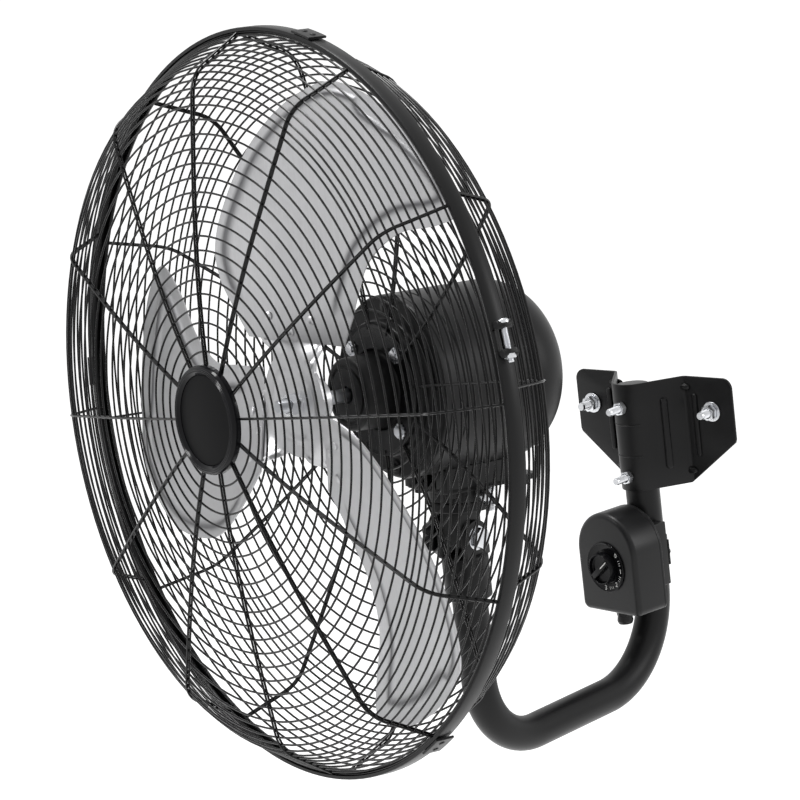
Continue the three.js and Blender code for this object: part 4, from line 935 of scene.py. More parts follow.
class FAN_OT_dial(bpy.types.Operator):
    """Makes the dial ring with its numbers and the speed knob"""

    bl_idname = "fan.dial"
    bl_label = "Dial and speed knob"

    def execute(self, context):
        centre = BOX @ Matrix.Translation((0, -BOX_FRONT - TOUCH, DIAL_Z))
        outline = [
            (DIAL_BORE_R, 0), (DIAL_R, 0), (DIAL_R, -DIAL_T), (DIAL_R - 0.7 * MM, -DIAL_T - 0.5 * MM),
            (DIAL_R - 1.5 * MM, -DIAL_T), (DIAL_BORE_R, -DIAL_T + 0.2 * MM),
        ]
        piece("dial_plate", spun(rounded(outline, 0.2 * MM, 2), 96, closed=True), centre, "wall_side",
              "gloss_black_plastic", ["dial_ring"])
        self.marks(centre)
        self.knob(centre)
        return {"FINISHED"}

    def marks(self, centre):
        radius = (DIAL_R + DIAL_BORE_R) / 2
        shapes = []
        for speed in range(SPEEDS):
            angle = math.radians(KNOB_TURN + DIAL_STEP * speed)
            spot = Matrix.Translation((radius * math.sin(angle), -DIAL_T, radius * math.cos(angle)))
            shapes.append((lettering(str(speed), 6.2 * MM, 0.15 * MM), spot))
            if speed + 1 < SPEEDS:
                for share in (0.36, 0.5, 0.64):
                    turn = turned(KNOB_TURN + DIAL_STEP * (speed + share))
                    tick = block(-0.25 * MM, 0.25 * MM, -DIAL_T - 0.12 * MM, -DIAL_T + 0.05 * MM,
                                 radius - 1.2 * MM, radius + 1.2 * MM, soft=0.03 * MM)
                    shapes.append((tick, turn))
        piece("dial_marks", joined(*shapes), centre, "wall_side", "pale_plastic")

    def knob(self, centre):
        wall = 1.6 * MM
        cup = rounded(
            [(0, 0), (KNOB_R, 0), (KNOB_R, -KNOB_FLOOR), (KNOB_R - 0.8 * MM, -KNOB_H),
             (KNOB_R - wall, -KNOB_H), (KNOB_R - wall - 0.6 * MM, -KNOB_FLOOR), (0, -KNOB_FLOOR)],
            [0, 0.6 * MM, 0.8 * MM, 0.6 * MM, 0.5 * MM, 1.2 * MM, 0], 4)
        half = 3.5 * MM
        reach = KNOB_R - wall
        bar = [*arc(0, 0, reach, 75, 105, 8), *arc(0, 0, reach, 255, 285, 8)]
        waist = [(x * (0.8 if abs(x) < half else 1), z) for x, z in bar]
        grip = softened(extruded(waist, -KNOB_FLOOR + SINK, -KNOB_H), 0.7 * MM)
        turn = centre @ turned(KNOB_TURN)
        piece("knob_body", joined(spun(cup, 72), grip), turn, "speed_knob", "gloss_black_plastic",
              ["speed_knob"])
        line = block(-0.45 * MM, 0.45 * MM, -KNOB_H - 0.12 * MM, -KNOB_H + 0.1 * MM, 1 * MM, reach - 1.5 * MM,
                     soft=0.05 * MM)
        piece("knob_pointer", line, turn, "speed_knob", "pale_plastic")


# ---- head joint --------------------------------------------------------------------------------
TILT_OVER_TUBE = 24 * MM
FORK_R = 21 * MM
FORK_SLEEVE = 32 * MM
FORK_WEB = 8 * MM
TONGUE_W = 21 * MM
CHEEK_IN = TONGUE_W / 2 + TOUCH
CHEEK_OUT = CHEEK_IN + 6 * MM
CHEEK_R = 16 * MM
TILT_BOLT_R = 5 * MM
LOCK_KNOB_R = 20 * MM
LOCK_KNOB_T = 16 * MM
LOCK_LOBES = 6
FLANGE_R = 29 * MM
FLANGE_Z = 26 * MM
FLANGE_T = 9 * MM
POST_R = 10 * MM
THREAD_R = 7 * MM
THREAD_L = 9 * MM
HUB_FROM = FLANGE_Z + FLANGE_T + TOUCH
HUB_H = 12 * MM
BASE_FROM = HUB_FROM + HUB_H - MM
BASE_TO = BASE_FROM + 5 * MM
BASE_HALF = 32 * MM
BASE_FRONT = -36 * MM
BASE_REAR = 66 * MM
PAD_W = 16 * MM
MOTOR_R = 81 * MM
PAN_SCREW_R = 3 * MM

UPRIGHT = turned(90, "X")  # takes what is spun about Y to +Z up
SIDEWAYS = turned(90, "Z")  # takes -Y to +X


class FAN_OT_head_joint(bpy.types.Operator):
    """Makes the fork, neck, tilt bolt, lock knobs and the turning base under the motor"""

    bl_idname = "fan.head_joint"
    bl_label = "Head joint"

    def execute(self, context):
        self.fork()
        self.tilt_fasteners()
        self.neck()
        self.base()
        self.pan_screw()
        return {"FINISHED"}

    def fork(self):
        end = -TILT_OVER_TUBE
        web = end + TOUCH + FORK_WEB
        sleeve = rounded(
            [(TUBE_R + 0.2 * MM, end - FORK_SLEEVE), (FORK_R, end - FORK_SLEEVE), (FORK_R, web), (0, web),
             (0, end + TOUCH), (TUBE_R + 0.2 * MM, end + TOUCH)],
            [0.5 * MM, 2 * MM, 3 * MM, 0, 0, 0], 4)
        shapes = [(spun(sleeve, 72, closed=True), Matrix.Rotation(math.pi / 2, 4, "X"))]
        side = [*arc(0, 0, CHEEK_R, 0, 180, 28), (-CHEEK_R, web - 2 * MM), (CHEEK_R, web - 2 * MM)]
        for x in (-CHEEK_OUT, CHEEK_IN):
            cheek = softened(extruded(side, 0, CHEEK_OUT - CHEEK_IN), 1 * MM)
            shapes.append((cheek, Matrix.Translation((x, 0, 0)) @ turned(-90, "Z")))
        piece("fork_casting", joined(*shapes), FORK, "wall_side", "black_coat", ["tilt_fork"])

    def tilt_fasteners(self):
        seat = CHEEK_OUT + TOUCH
        head = (hexagon(17 * MM, 0, 7 * MM), Matrix.Translation((seat, 0, 0)) @ SIDEWAYS)
        shank = (stud(2 * TILT_BOLT_R, 2 * CHEEK_OUT + LOCK_KNOB_T - 3 * MM, 1.5 * MM, plain=34 * MM),
                 Matrix.Translation((seat, 0, 0)) @ turned(-90, "Z"))
        disc = (washer(22 * MM, 10.6 * MM, 0.25 * MM), Matrix.Translation((CHEEK_OUT, 0, 0)) @ SIDEWAYS)
        piece("tilt_screw", joined(head, shank, disc), FORK, "wall_side", "zinc_plate", ["tilt_bolt"])

        def lobe(angle, radius, y):
            return radius * (0.9 + 0.1 * math.cos(LOCK_LOBES * angle)), y

        bore = TILT_BOLT_R + 0.4 * MM
        rings = [
            lambda a: (bore, -0.2 * MM),
            lambda a: (LOCK_KNOB_R / 2, 0),
            lambda a: (LOCK_KNOB_R / 2, -4 * MM),
            lambda a: lobe(a, LOCK_KNOB_R - 1.4 * MM, -4.1 * MM),
            lambda a: lobe(a, LOCK_KNOB_R - 0.3 * MM, -4.8 * MM),
            lambda a: lobe(a, LOCK_KNOB_R, -6 * MM),
            lambda a: lobe(a, LOCK_KNOB_R, -LOCK_KNOB_T + 3 * MM),
            lambda a: lobe(a, LOCK_KNOB_R - 0.8 * MM, -LOCK_KNOB_T + 1.2 * MM),
            lambda a: lobe(a, LOCK_KNOB_R - 3 * MM, -LOCK_KNOB_T + 0.2 * MM),
            lambda a: (LOCK_KNOB_R * 0.5, -LOCK_KNOB_T),
            lambda a: (LOCK_KNOB_R * 0.42, -LOCK_KNOB_T + 0.8 * MM),
            lambda a: (0, -LOCK_KNOB_T + 0.8 * MM),
        ]
        back = [lambda a: (bore, -LOCK_KNOB_T + 2.5 * MM), lambda a: (0, -LOCK_KNOB_T + 2.5 * MM)]
        shell = joined(stacked(rings, 72), stacked([rings[0], *back], 72))
        place = FORK @ Matrix.Translation((-seat, 0, 0)) @ turned(-90, "Z")
        piece("tilt_hand_knob", shell, place, "tilt_lock_knob", "gloss_black_plastic", ["tilt_lock_knob"])

    def neck(self):
        eye_r = CHEEK_R - MM
        side = [*arc(0, 0, eye_r, 200, 340, 28), (eye_r - MM, FLANGE_Z + MM), (-eye_r + MM, FLANGE_Z + MM)]
        tongue = softened(extruded(side, -TONGUE_W / 2, TONGUE_W / 2), 0.8 * MM)
        top = BASE_TO - TOUCH
        outline = rounded(
            [(0, FLANGE_Z), (FLANGE_R, FLANGE_Z), (FLANGE_R, FLANGE_Z + FLANGE_T),
             (POST_R, FLANGE_Z + FLANGE_T), (POST_R, top), (THREAD_R, top), (THREAD_R, BASE_TO + THREAD_L),
             (0, BASE_TO + THREAD_L)],
            [0, 1.5 * MM, 1 * MM, 0, 0.8 * MM, 0, 1 * MM, 0], 4)
        thread = (stud(2 * THREAD_R + 0.1 * MM, THREAD_L + TOUCH, 1.5 * MM),
                  Matrix.Translation((0, 0, BASE_TO - TOUCH)) @ turned(-90, "X"))
        shapes = joined((tongue, turned(90, "Z")), (spun(outline, 72), UPRIGHT), thread)
        piece("neck_casting", shapes, NECK, "neck", "black_coat", ["neck"])
        nut = hexagon(22 * MM, 14.6 * MM, 7 * MM)
        place = NECK @ Matrix.Translation((0, 0, BASE_TO + TOUCH)) @ turned(-90, "X")
        piece("post_nut", nut, place, "neck", "zinc_plate", ["pivot_nut"])

    def base(self):
        hub = rounded(
            [(POST_R + 0.4 * MM, HUB_FROM), (FLANGE_R, HUB_FROM), (FLANGE_R, HUB_FROM + HUB_H),
             (POST_R + 0.4 * MM, HUB_FROM + HUB_H)], 1.2 * MM, 4)
        corners = [(-BASE_HALF, BASE_FRONT), (BASE_HALF, BASE_FRONT), (BASE_HALF, BASE_REAR),
                   (-BASE_HALF, BASE_REAR)]
        plate = stood_up(extruded(rounded(corners, 6 * MM, 5), BASE_FROM, BASE_TO))
        shapes = [(spun(hub, 72, closed=True), UPRIGHT), softened(plate, 0.8 * MM, angle=50)]
        seat = MOTOR_R + 0.4 * MM
        for side in (-1, 1):
            top = [
                (side * x, FAN_AXIS_Z - math.sqrt(seat**2 - x**2))
                for x in [BASE_HALF - PAD_W + PAD_W * k / 10 for k in range(11)]
            ]
            foot = [(side * BASE_HALF, BASE_FROM + MM), (side * (BASE_HALF - PAD_W), BASE_FROM + MM)]
            shapes.append(softened(extruded(top + foot, BASE_FRONT, BASE_REAR / 2), 0.6 * MM, angle=50))
            for y in (BASE_FRONT + 10 * MM, BASE_REAR - 12 * MM):
                bolt = hexagon(10 * MM, 0, 5 * MM)
                under = Matrix.Translation((side * (BASE_HALF - 9 * MM), y, BASE_FROM)) @ turned(90, "X")
                shapes.append((bolt, under))
        piece("base_casting", joined(*shapes), BASE, "head", "black_coat", ["head_base"])

    def pan_screw(self):
        outer = FLANGE_R + 6 * MM
        shank = stud(2 * PAN_SCREW_R, outer + 2 * MM - POST_R - 0.7 * MM, 1 * MM)
        boss = spun(rounded([(0, 0), (6 * MM, 0), (5 * MM, -10 * MM), (0, -10 * MM)], [0, MM, MM, 0], 3), 40)
        wing = [
            (4.5 * MM, -2 * MM), (8 * MM, -4 * MM), (13 * MM, -12 * MM), (11 * MM, -19 * MM),
            (6 * MM, -19 * MM), (3 * MM, -11 * MM),
        ]
        shapes = [(shank, along_y(-POST_R - 0.7 * MM)), (boss, along_y(-outer))]
        for side in (-1, 1):
            flat = rounded([(side * x, y) for x, y in wing], 2.4 * MM, 4)
            leaf = stood_up(extruded(flat, -1.6 * MM, 1.6 * MM))
            shapes.append((softened(leaf, 0.7 * MM, angle=40), along_y(-outer + 2 * MM)))
        place = BASE @ Matrix.Translation((0, 0, HUB_FROM + HUB_H / 2)) @ SIDEWAYS @ turned(90)
        piece("pan_wing_screw", joined(*shapes), place, "pan_lock_screw", "zinc_plate", ["pan_lock_screw"])


# ---- motor -------------------------------------------------------------------------------------
BELL_T = 7 * MM
BELL_STEP_R = 60 * MM
BELL_STEP_H = 12 * MM
BOSS_R = 32 * MM
BOSS_L = 46 * MM
SHAFT_R = 6 * MM
SHELL_STRAIGHT = 97 * MM
DOME_DEPTH = 50 * MM
DOME_FLAT_R = 22 * MM
BELL_SCREWS = 4
BELL_SCREW_R = 71 * MM


class FAN_OT_motor(bpy.types.Operator):
    """Makes the motor's front bell with its screws and its domed shell"""

    bl_idname = "fan.motor"
    bl_label = "Motor"

    def execute(self, context):
        front = [
            (SHAFT_R + 2 * MM, -BOSS_L + 4 * MM), (SHAFT_R + 2 * MM, -BOSS_L), (BOSS_R - 9 * MM, -BOSS_L),
            (BOSS_R - 9 * MM, -BOSS_L + 1.5 * MM), (BOSS_R - 6 * MM, -BOSS_L + 1.5 * MM),
            (BOSS_R - 6 * MM, -BOSS_L), (BOSS_R, -BOSS_L), (BOSS_R + 1.5 * MM, -BELL_STEP_H),
            (BELL_STEP_R, -BELL_STEP_H), (BELL_STEP_R, 0), (MOTOR_R, 0), (MOTOR_R, BELL_T),
        ]
        radii = [size * MM for size in (0, 0.5, 0.8, 0.3, 0.3, 0.8, 4, 5, 3, 3, 4, 0)]
        back = [(BELL_STEP_R - 6 * MM, BELL_T), (BELL_STEP_R - 6 * MM, -BELL_STEP_H + 4 * MM),
                (18 * MM, -BELL_STEP_H + 4 * MM), (18 * MM, -BOSS_L + 4 * MM)]
        bell = spun([*rounded(front, radii, 5, closed=False), *[Vector(p) for p in back]], 112, closed=True)
        shapes = [bell]
        seat = [(0, 0.1 * MM), (7 * MM, 0.1 * MM), (7 * MM, -0.9 * MM), (6 * MM, -1.4 * MM), (0, -1.4 * MM)]
        for k in range(BELL_SCREWS):
            angle = math.radians(360 * k / BELL_SCREWS)
            spot = Matrix.Translation((BELL_SCREW_R * math.sin(angle), 0, BELL_SCREW_R * math.cos(angle)))
            shapes.append((dome_head(4 * MM, 3 * MM), spot))
            shapes.append((spun(seat, 32), spot))
        piece("motor_bell", joined(*shapes), MOTOR, "head", "black_coat", ["motor_front_bell"], angle=40)
        self.shell()
        return {"FINISHED"}

    def shell(self):
        start = BELL_T + TOUCH
        straight = start + SHELL_STRAIGHT
        dome = [
            (DOME_FLAT_R + (MOTOR_R - DOME_FLAT_R) * math.cos(a), straight + DOME_DEPTH * math.sin(a))
            for a in [math.pi / 2 * k / 22 for k in range(23)]
        ]
        wall = 3 * MM
        outline = [
            (MOTOR_R - wall, start), (MOTOR_R - 0.8 * MM, start), (MOTOR_R, start + 0.8 * MM),
            (MOTOR_R, start + 14 * MM), (MOTOR_R - 0.7 * MM, start + 14.6 * MM),
            (MOTOR_R - 0.7 * MM, start + 16 * MM), (MOTOR_R, start + 16.6 * MM), *dome,
            (0, straight + DOME_DEPTH),
        ]
        inner = [
            (0, straight + DOME_DEPTH - wall),
            *[(max(r - wall, 0.1 * MM), min(y, straight + DOME_DEPTH - wall)) for r, y in reversed(dome)],
            (MOTOR_R - wall, start),
        ]
        piece("motor_can", spun(outline + inner[:-1], 128, closed=True), MOTOR, "head", "black_coat",
              ["motor_shell"], angle=40)


# ---- guards ------------------------------------------------------------------------------------
BAND_R = 324.6 * MM
RIM_R = 320 * MM
RIM_OFFSET = 4 * MM
FRONT_TURN = -6  # degrees, the first radial from upright
REAR_TURN = -8
FRONT_SHOULDER = {"width": 46 * MM, "depth": 57.5 * MM, "round": 32 * MM, "slope": 68, "edge": 7}
REAR_SHOULDER = {"width": 40 * MM, "depth": 60 * MM, "round": 30 * MM, "slope": 70, "edge": 10}
WELD_APART = 0.62  # distance between a welded ring and radial, as a share of their two radii
DENSE_FROM = 262 * MM  # radius past which the rings stand closer
FRONT_CENTRE = {"radius": 36 * MM, "depth": 79 * MM}
REAR_CENTRE = {"radius": 47 * MM, "depth": 90.2 * MM}
PLATE_HALF = 11 * MM  # half the width of the rear guard's plate


def guard_line(shoulder, centre):
    """A guard's profile from its rim inwards: (radius, depth) points about 1 mm apart."""
    face = RIM_R - shoulder["width"]
    end = math.radians(shoulder["edge"])
    line = [(RIM_R, RIM_OFFSET)]
    for k in range(41):
        turn = math.radians(shoulder["slope"] + (shoulder["edge"] - shoulder["slope"]) * k / 40)
        line.append((
            face + shoulder["round"] * (math.sin(turn) - math.sin(end)),
            shoulder["depth"] - shoulder["round"] * (math.cos(end) - math.cos(turn)),
        ))
    for k in range(1, 121):
        share = k / 120
        lift = math.sin(share * math.pi / 2)
        line.append((
            face + (centre["radius"] - face) * share,
            shoulder["depth"] + (centre["depth"] - shoulder["depth"]) * lift,
        ))
    return [Vector(point) for point in line]


def walk(line, distance):
    """The point of a line at a distance along it, and the line's direction there."""
    for a, b in zip(line, line[1:]):
        step = (b - a).length
        if distance <= step:
            return a.lerp(b, distance / step), (b - a).normalized()
        distance -= step
    return line[-1], (line[-1] - line[-2]).normalized()


def length_of(line):
    return sum((b - a).length for a, b in zip(line, line[1:]))


def radial_paths(line, first, count, side, offset, start=0.0, end=0.0):
    """One wire for each radial, on one side of the rings."""
    whole = length_of(line) - end
    steps = 56
    spots = []
    for k in range(steps + 1):
        point, along = walk(line, start + (whole - start) * k / steps)
        out = Vector((along.y, -along.x))
        spots.append(point + out * offset * side)
    paths = []
    for number in range(count):
        angle = math.radians(first + 360 * number / count)
        paths.append(([(r * math.sin(angle), y, r * math.cos(angle)) for r, y in spots], False))
    return paths


def flipped(line, direction):
    return [Vector((point.x, point.y * direction)) for point in line]


class FAN_OT_guards(bpy.types.Operator):
    """Makes the front and rear guards: rings, pairs of radial wires, rims and centre plates"""

    bl_idname = "fan.guards"
    bl_label = "Guards"

    def execute(self, context):
        sizes = context.scene.fan_guard
        gap = (sizes.ring_wire + sizes.radial_wire) * WELD_APART
        front = flipped(guard_line(FRONT_SHOULDER, FRONT_CENTRE), -1)
        rings = self.rings(front, sizes, 57.6 * MM)
        radials = radial_paths(front, FRONT_TURN, sizes.radials, 1, gap, start=2 * MM)
        radials += radial_paths(front, FRONT_TURN, sizes.radials, -1, gap, start=2 * MM)
        depth = -FRONT_CENTRE["depth"]
        centre = rounded(
            [(31.6 * MM, depth - 1.2 * MM), (40.4 * MM, depth - 1.2 * MM), (40.4 * MM, depth + 1.2 * MM),
             (31.6 * MM, depth + 1.2 * MM)], 0.6 * MM, 2)
        rim = wires([ring_path(RIM_R, -RIM_OFFSET, 144)], sizes.rim_wire)
        bm = joined(wires(rings, sizes.ring_wire), wires(radials, sizes.radial_wire), rim,
                    spun(centre, 72, closed=True))
        piece("front_wires", bm, BAND, "head", "black_wire", ["front_guard"])
        self.rear(sizes, gap)
        return {"FINISHED"}

    def rings(self, line, sizes, innermost):
        """Ring paths from the innermost ring outwards, a pitch apart along the profile."""
        outward = list(reversed(line))
        whole = length_of(outward)
        reach = innermost - outward[0].x
        paths = []
        while reach < whole - 4 * MM:
            spot = walk(outward, reach)[0]
            paths.append(ring_path(spot.x, spot.y))
            reach += sizes.pitch if spot.x < DENSE_FROM else sizes.shoulder_pitch
        return paths

    def rear(self, sizes, gap):
        line = guard_line(REAR_SHOULDER, REAR_CENTRE)
        rings = self.rings(line, sizes, 70 * MM)
        radials = radial_paths(line, REAR_TURN, sizes.radials, 1, gap, start=2 * MM, end=6 * MM)
        radials += radial_paths(line, REAR_TURN, sizes.radials, -1, gap, start=2 * MM, end=6 * MM)
        depth = REAR_CENTRE["depth"]
        inner = REAR_CENTRE["radius"] - PLATE_HALF
        outer = REAR_CENTRE["radius"] + PLATE_HALF
        plate = rounded(
            [(inner, depth - 1.3 * MM), (outer - 3 * MM, depth - 1.3 * MM), (outer, depth - 2.6 * MM),
             (outer, depth + 1 * MM), (inner, depth + 1 * MM)], 0.5 * MM, 3)
        rim = wires([ring_path(RIM_R, RIM_OFFSET, 144)], sizes.rim_wire)
        bm = joined(wires(rings, sizes.ring_wire), wires(radials, sizes.radial_wire), rim,
                    spun(plate, 96, closed=True))
        piece("rear_wires", bm, BAND, "head", "black_wire", ["rear_guard"])


BAND_HALF = 7 * MM
BAND_JOINT_TURN = 75
BAND_SPLIT = 18 * MM
LUG_H = 11 * MM
LUG_T = 3 * MM
CLIP_TURNS = (12, 145, 270)
CLIP_L = 26 * MM
CLIP_T = 2.2 * MM
CLIP_HALF = 9 * MM
CAP_R = 47 * MM
CAP_BACK = -FRONT_CENTRE["depth"] - 1.5 * MM - TOUCH
CAP_H = 9 * MM
GUARD_SCREWS = 4
GUARD_SCREW_R = 47 * MM


class FAN_OT_band(bpy.types.Operator):
    """Makes the rolled band that closes on both rims, its joint, bolt, nut and clips"""

    bl_idname = "fan.band"
    bl_label = "Band"

    def execute(self, context):
        place = BAND @ turned(BAND_JOINT_TURN)
        self.strip(place)
        centre = BAND_R + LUG_H / 2
        out = BAND_SPLIT / 2 + LUG_T + TOUCH
        head = (dome_head(5 * MM, 4 * MM), Matrix.Translation((-out, 0, 0)) @ turned(-90, "Z"))
        shank = (stud(5 * MM, 2 * out + 7 * MM, 0.8 * MM, plain=0.1 * MM),
                 Matrix.Translation((-out, 0, 0)) @ SIDEWAYS)
        bolt = joined(head, shank)
        up = Matrix.Translation((0, 0, centre))
        piece("band_screw", bolt, place @ up, "head", "zinc_plate", ["band_bolt"])
        nut = hexagon(8.5 * MM, 5.4 * MM, 4 * MM)
        piece("band_hex", nut, place @ up @ Matrix.Translation((out, 0, 0)) @ SIDEWAYS, "head", "zinc_plate",
              ["band_nut"])
        for number, turn in enumerate(CLIP_TURNS, 1):
            self.clip(number, turn)
        return {"FINISHED"}

    def strip(self, place):
        """The strip with its edges rolled over the rims, split at its joint, and its two lugs."""
        half = [(0, BAND_HALF - MM), (0.5 * MM, BAND_HALF), (3.2 * MM, BAND_HALF),
                (3.2 * MM, BAND_HALF - 1.2 * MM), (1.6 * MM, BAND_HALF - 1.4 * MM), (1.2 * MM, 3 * MM)]
        section = [(BAND_R, -half[0][1])]
        section += [(BAND_R - inset, y) for inset, y in half]
        section += [(BAND_R - inset, -y) for inset, y in reversed(half[1:])]
        bm = bmesh.new()
        opening = math.asin(BAND_SPLIT / 2 / BAND_R)
        face = bm.faces.new([bm.verts.new((0, y, radius)) for radius, y in section])
        bmesh.ops.rotate(bm, verts=bm.verts, cent=(0, 0, 0), matrix=Matrix.Rotation(opening, 3, "Y"))
        bmesh.ops.spin(bm, geom=[face], cent=(0, 0, 0), axis=(0, 1, 0), angle=FULL_TURN - 2 * opening,
                       steps=180, use_merge=False)
        shapes = [bm]
        for side in (-1, 1):
            x = side * BAND_SPLIT / 2
            lug = [(-BAND_HALF + MM, BAND_R - 1.2 * MM), (BAND_HALF - MM, BAND_R - 1.2 * MM),
                   (BAND_HALF - MM, BAND_R + LUG_H), (-BAND_HALF + MM, BAND_R + LUG_H)]
            flat = rounded(lug, [0.2 * MM, 0.2 * MM, 4 * MM, 4 * MM], 6)
            ends = sorted((0, side * LUG_T))
            shape = softened(extruded(flat, ends[0], ends[1]), 0.5 * MM, angle=50)
            shapes.append((shape, Matrix.Translation((x, 0, 0)) @ turned(-90, "Z")))
            barrel = [(0, -BAND_HALF), (3.6 * MM, -BAND_HALF), (3.6 * MM, BAND_HALF), (0, BAND_HALF)]
            barrel = spun(rounded(barrel, [0, 0.6 * MM, 0.6 * MM, 0], 3), 40)
            spot = Matrix.Translation((side * (BAND_SPLIT / 2 + 2.4 * MM), 0, BAND_R + LUG_H / 2))
            shapes.append((barrel, spot))
        piece("band_strip", joined(*shapes), place, "head", "black_coat", ["guard_band"])

    def clip(self, number, turn):
        """A curved plate over the band with rounded edges and two small screw heads."""
        foot = BAND_R + 0.7 * MM
        top = foot + CLIP_T
        half_angle = CLIP_L / 2 / BAND_R
        corners = [(foot, -CLIP_HALF), (top, -CLIP_HALF), (top, CLIP_HALF), (foot, CLIP_HALF)]
        section = rounded(corners, 0.8 * MM, 3)
        bm = bmesh.new()
        face = bm.faces.new([bm.verts.new((0, y, radius)) for radius, y in section])
        bmesh.ops.rotate(bm, verts=bm.verts, cent=(0, 0, 0), matrix=Matrix.Rotation(-half_angle, 3, "Y"))
        bmesh.ops.spin(bm, geom=[face], cent=(0, 0, 0), axis=(0, 1, 0), angle=2 * half_angle, steps=12,
                       use_merge=False)
        heads = [
            (dome_head(2.6 * MM, 1.2 * MM), Matrix.Translation((x, 0, top - SINK)) @ turned(-90, "X"))
            for x in (-6 * MM, 6 * MM)
        ]
        piece(f"clip_plate_{number}", joined(bm, *heads), BAND @ turned(turn), "head", "black_coat",
              [f"band_clip_{number}"])


class FAN_OT_cap(bpy.types.Operator):
    """Makes the front cap: a gloss bezel with a double ring round a plain disc"""

    bl_idname = "fan.cap"
    bl_label = "Front cap"

    def execute(self, context):
        front = CAP_BACK - CAP_H
        inner = CAP_R - 8 * MM
        bead = 0.7 * MM
        outline = [
            (inner, CAP_BACK), (CAP_R, CAP_BACK), (CAP_R, front + 4 * MM), (CAP_R - 1 * MM, front + 1.4 * MM),
            (CAP_R - 2 * MM, front + 0.5 * MM), (CAP_R - 2.8 * MM, front + bead), (CAP_R - 3.6 * MM, front),
            (CAP_R - 4.4 * MM, front + bead), (CAP_R - 5.2 * MM, front), (CAP_R - 6 * MM, front + bead),
            (inner, front + 2.6 * MM),
        ]
        radii = [size * MM for size in (0, 0.5, 2, 1.4, 0.8, 0.3, 0.5, 0.3, 0.5, 0.5, 0.4)]
        piece("cap_ring", spun(rounded(outline, radii, 4), 128, closed=True), BAND, "head",
              "gloss_black_plastic", ["cap_bezel"])
        face = front + 3 * MM
        rim = inner - TOUCH
        disc = [(0, CAP_BACK - MM), (rim, CAP_BACK - MM), (rim, face), (0, face)]
        disc = rounded(disc, [0, 0, 0.6 * MM, 0], 3)
        piece("cap_face", spun(disc, 96), BAND, "head", "black_plastic", ["cap_disc"], coat="cap_plastic")
        for number in range(GUARD_SCREWS):
            self.guard_screw(number)
        return {"FINISHED"}

    def guard_screw(self, number):
        """A screw with its lock washer that holds the rear guard's plate on the motor's bell."""
        angle = math.radians(45 + 360 * number / GUARD_SCREWS)
        under = REAR_CENTRE["depth"] - 1.5 * MM - TOUCH
        x, z = GUARD_SCREW_R * math.cos(angle), GUARD_SCREW_R * math.sin(angle)
        spot = BAND @ Matrix.Translation((x, under, z))
        screw = joined(
            toothed_washer(15 * MM, 5.4 * MM, 0.9 * MM),
            (hexagon(9 * MM, 0, 3.2 * MM), along_y(-0.8 * MM)),
            (stud(5 * MM, 3 * MM, 0.8 * MM), turned(180, "Z")),
        )
        piece(f"plate_screw_{number + 1}", screw, spot, "head", "zinc_plate", [f"guard_screw_{number + 1}"])


# ---- blade wheel -------------------------------------------------------------------------------
BLADES = 3
BLADE_TURN = 4
BLADE_TIP_R = 292 * MM
BLADE_ROOT_R = 56 * MM
BLADE_T = 1.6 * MM
ROOT_PITCH = 18
TIP_PITCH = 12
BLADE_BEND_R = 1000 * MM
BLADE_MID_CHORD = 70 * MM
# outline of the blade: (share of the way from root to tip, degrees clockwise from the arm)
HEEL_EDGE = (
    (0.06, -37), (0.29, -34), (0.445, -27), (0.64, -14), (0.785, -5), (0.9, 3), (0.985, 11), (1, 20),
)
NOSE_EDGE = (
    (0.1, 45), (0.28, 37), (0.445, 34), (0.63, 38), (0.805, 45), (0.94, 47), (0.99, 41), (1, 34), (1, 27),
)
SPIDER_R = 46 * MM
SPIDER_T = 2.5 * MM
HUB_FLAT_R = 40 * MM
SPIDER_HALF = 32 * MM
SPIDER_REACH = 92 * MM
SPIDER_BOSS_R = 19 * MM
SPIDER_BOSS_L = 26 * MM
RIVETS = ((76 * MM, -22 * MM), (76 * MM, 22 * MM), (64 * MM, 0))
HEEL_CLOSER = 10 * MM  # how much closer the bead runs to the heel than to the other edges
ARM_OFFSET = BLADE_T / 2 + 0.8 * MM + SPIDER_T / 2


def sheet_point(reach, chord, offset):
    """A point of the pitched, rolled blade sheet: reach along the arm, chord across it."""
    share = min(max((reach - HUB_FLAT_R) / (BLADE_ROOT_R - HUB_FLAT_R), 0), 1)
    share = share * share * (3 - 2 * share)
    out = max((math.hypot(reach, chord) - BLADE_ROOT_R) / (BLADE_TIP_R - BLADE_ROOT_R), 0)
    pitch = math.radians(ROOT_PITCH + (TIP_PITCH - ROOT_PITCH) * out) * share
    roll = (BLADE_MID_CHORD**2 - (chord - BLADE_MID_CHORD) ** 2) / (2 * BLADE_BEND_R)
    height = roll * share + offset
    return Vector((
        chord * math.cos(pitch) - height * math.sin(pitch),
        chord * math.sin(pitch) + height * math.cos(pitch),
        reach,
    ))


def through(points, count):
    """Evenly spaced points on a smooth curve through the given ones."""
    spots = []
    last = len(points) - 1
    for i in range(last):
        p0, p1, p2, p3 = (points[min(max(i + k, 0), last)] for k in (-1, 0, 1, 2))
        for step in range(20):
            t = step / 20
            spots.append(0.5 * (
                2 * p1 + (p2 - p0) * t + (2 * p0 - 5 * p1 + 4 * p2 - p3) * t**2
                + (3 * p1 - p0 - 3 * p2 + p3) * t**3
            ))
    spots.append(points[-1])
    whole = length_of(spots)
    return [walk(spots, whole * k / count)[0] for k in range(count + 1)]


def blade_edge(outline, count):
    points = []
    for share, angle in outline:
        radius = BLADE_ROOT_R + (BLADE_TIP_R - BLADE_ROOT_R) * share
        turn = math.radians(angle)
        points.append(Vector((radius * math.cos(turn), radius * math.sin(turn))))
    return through(points, count)


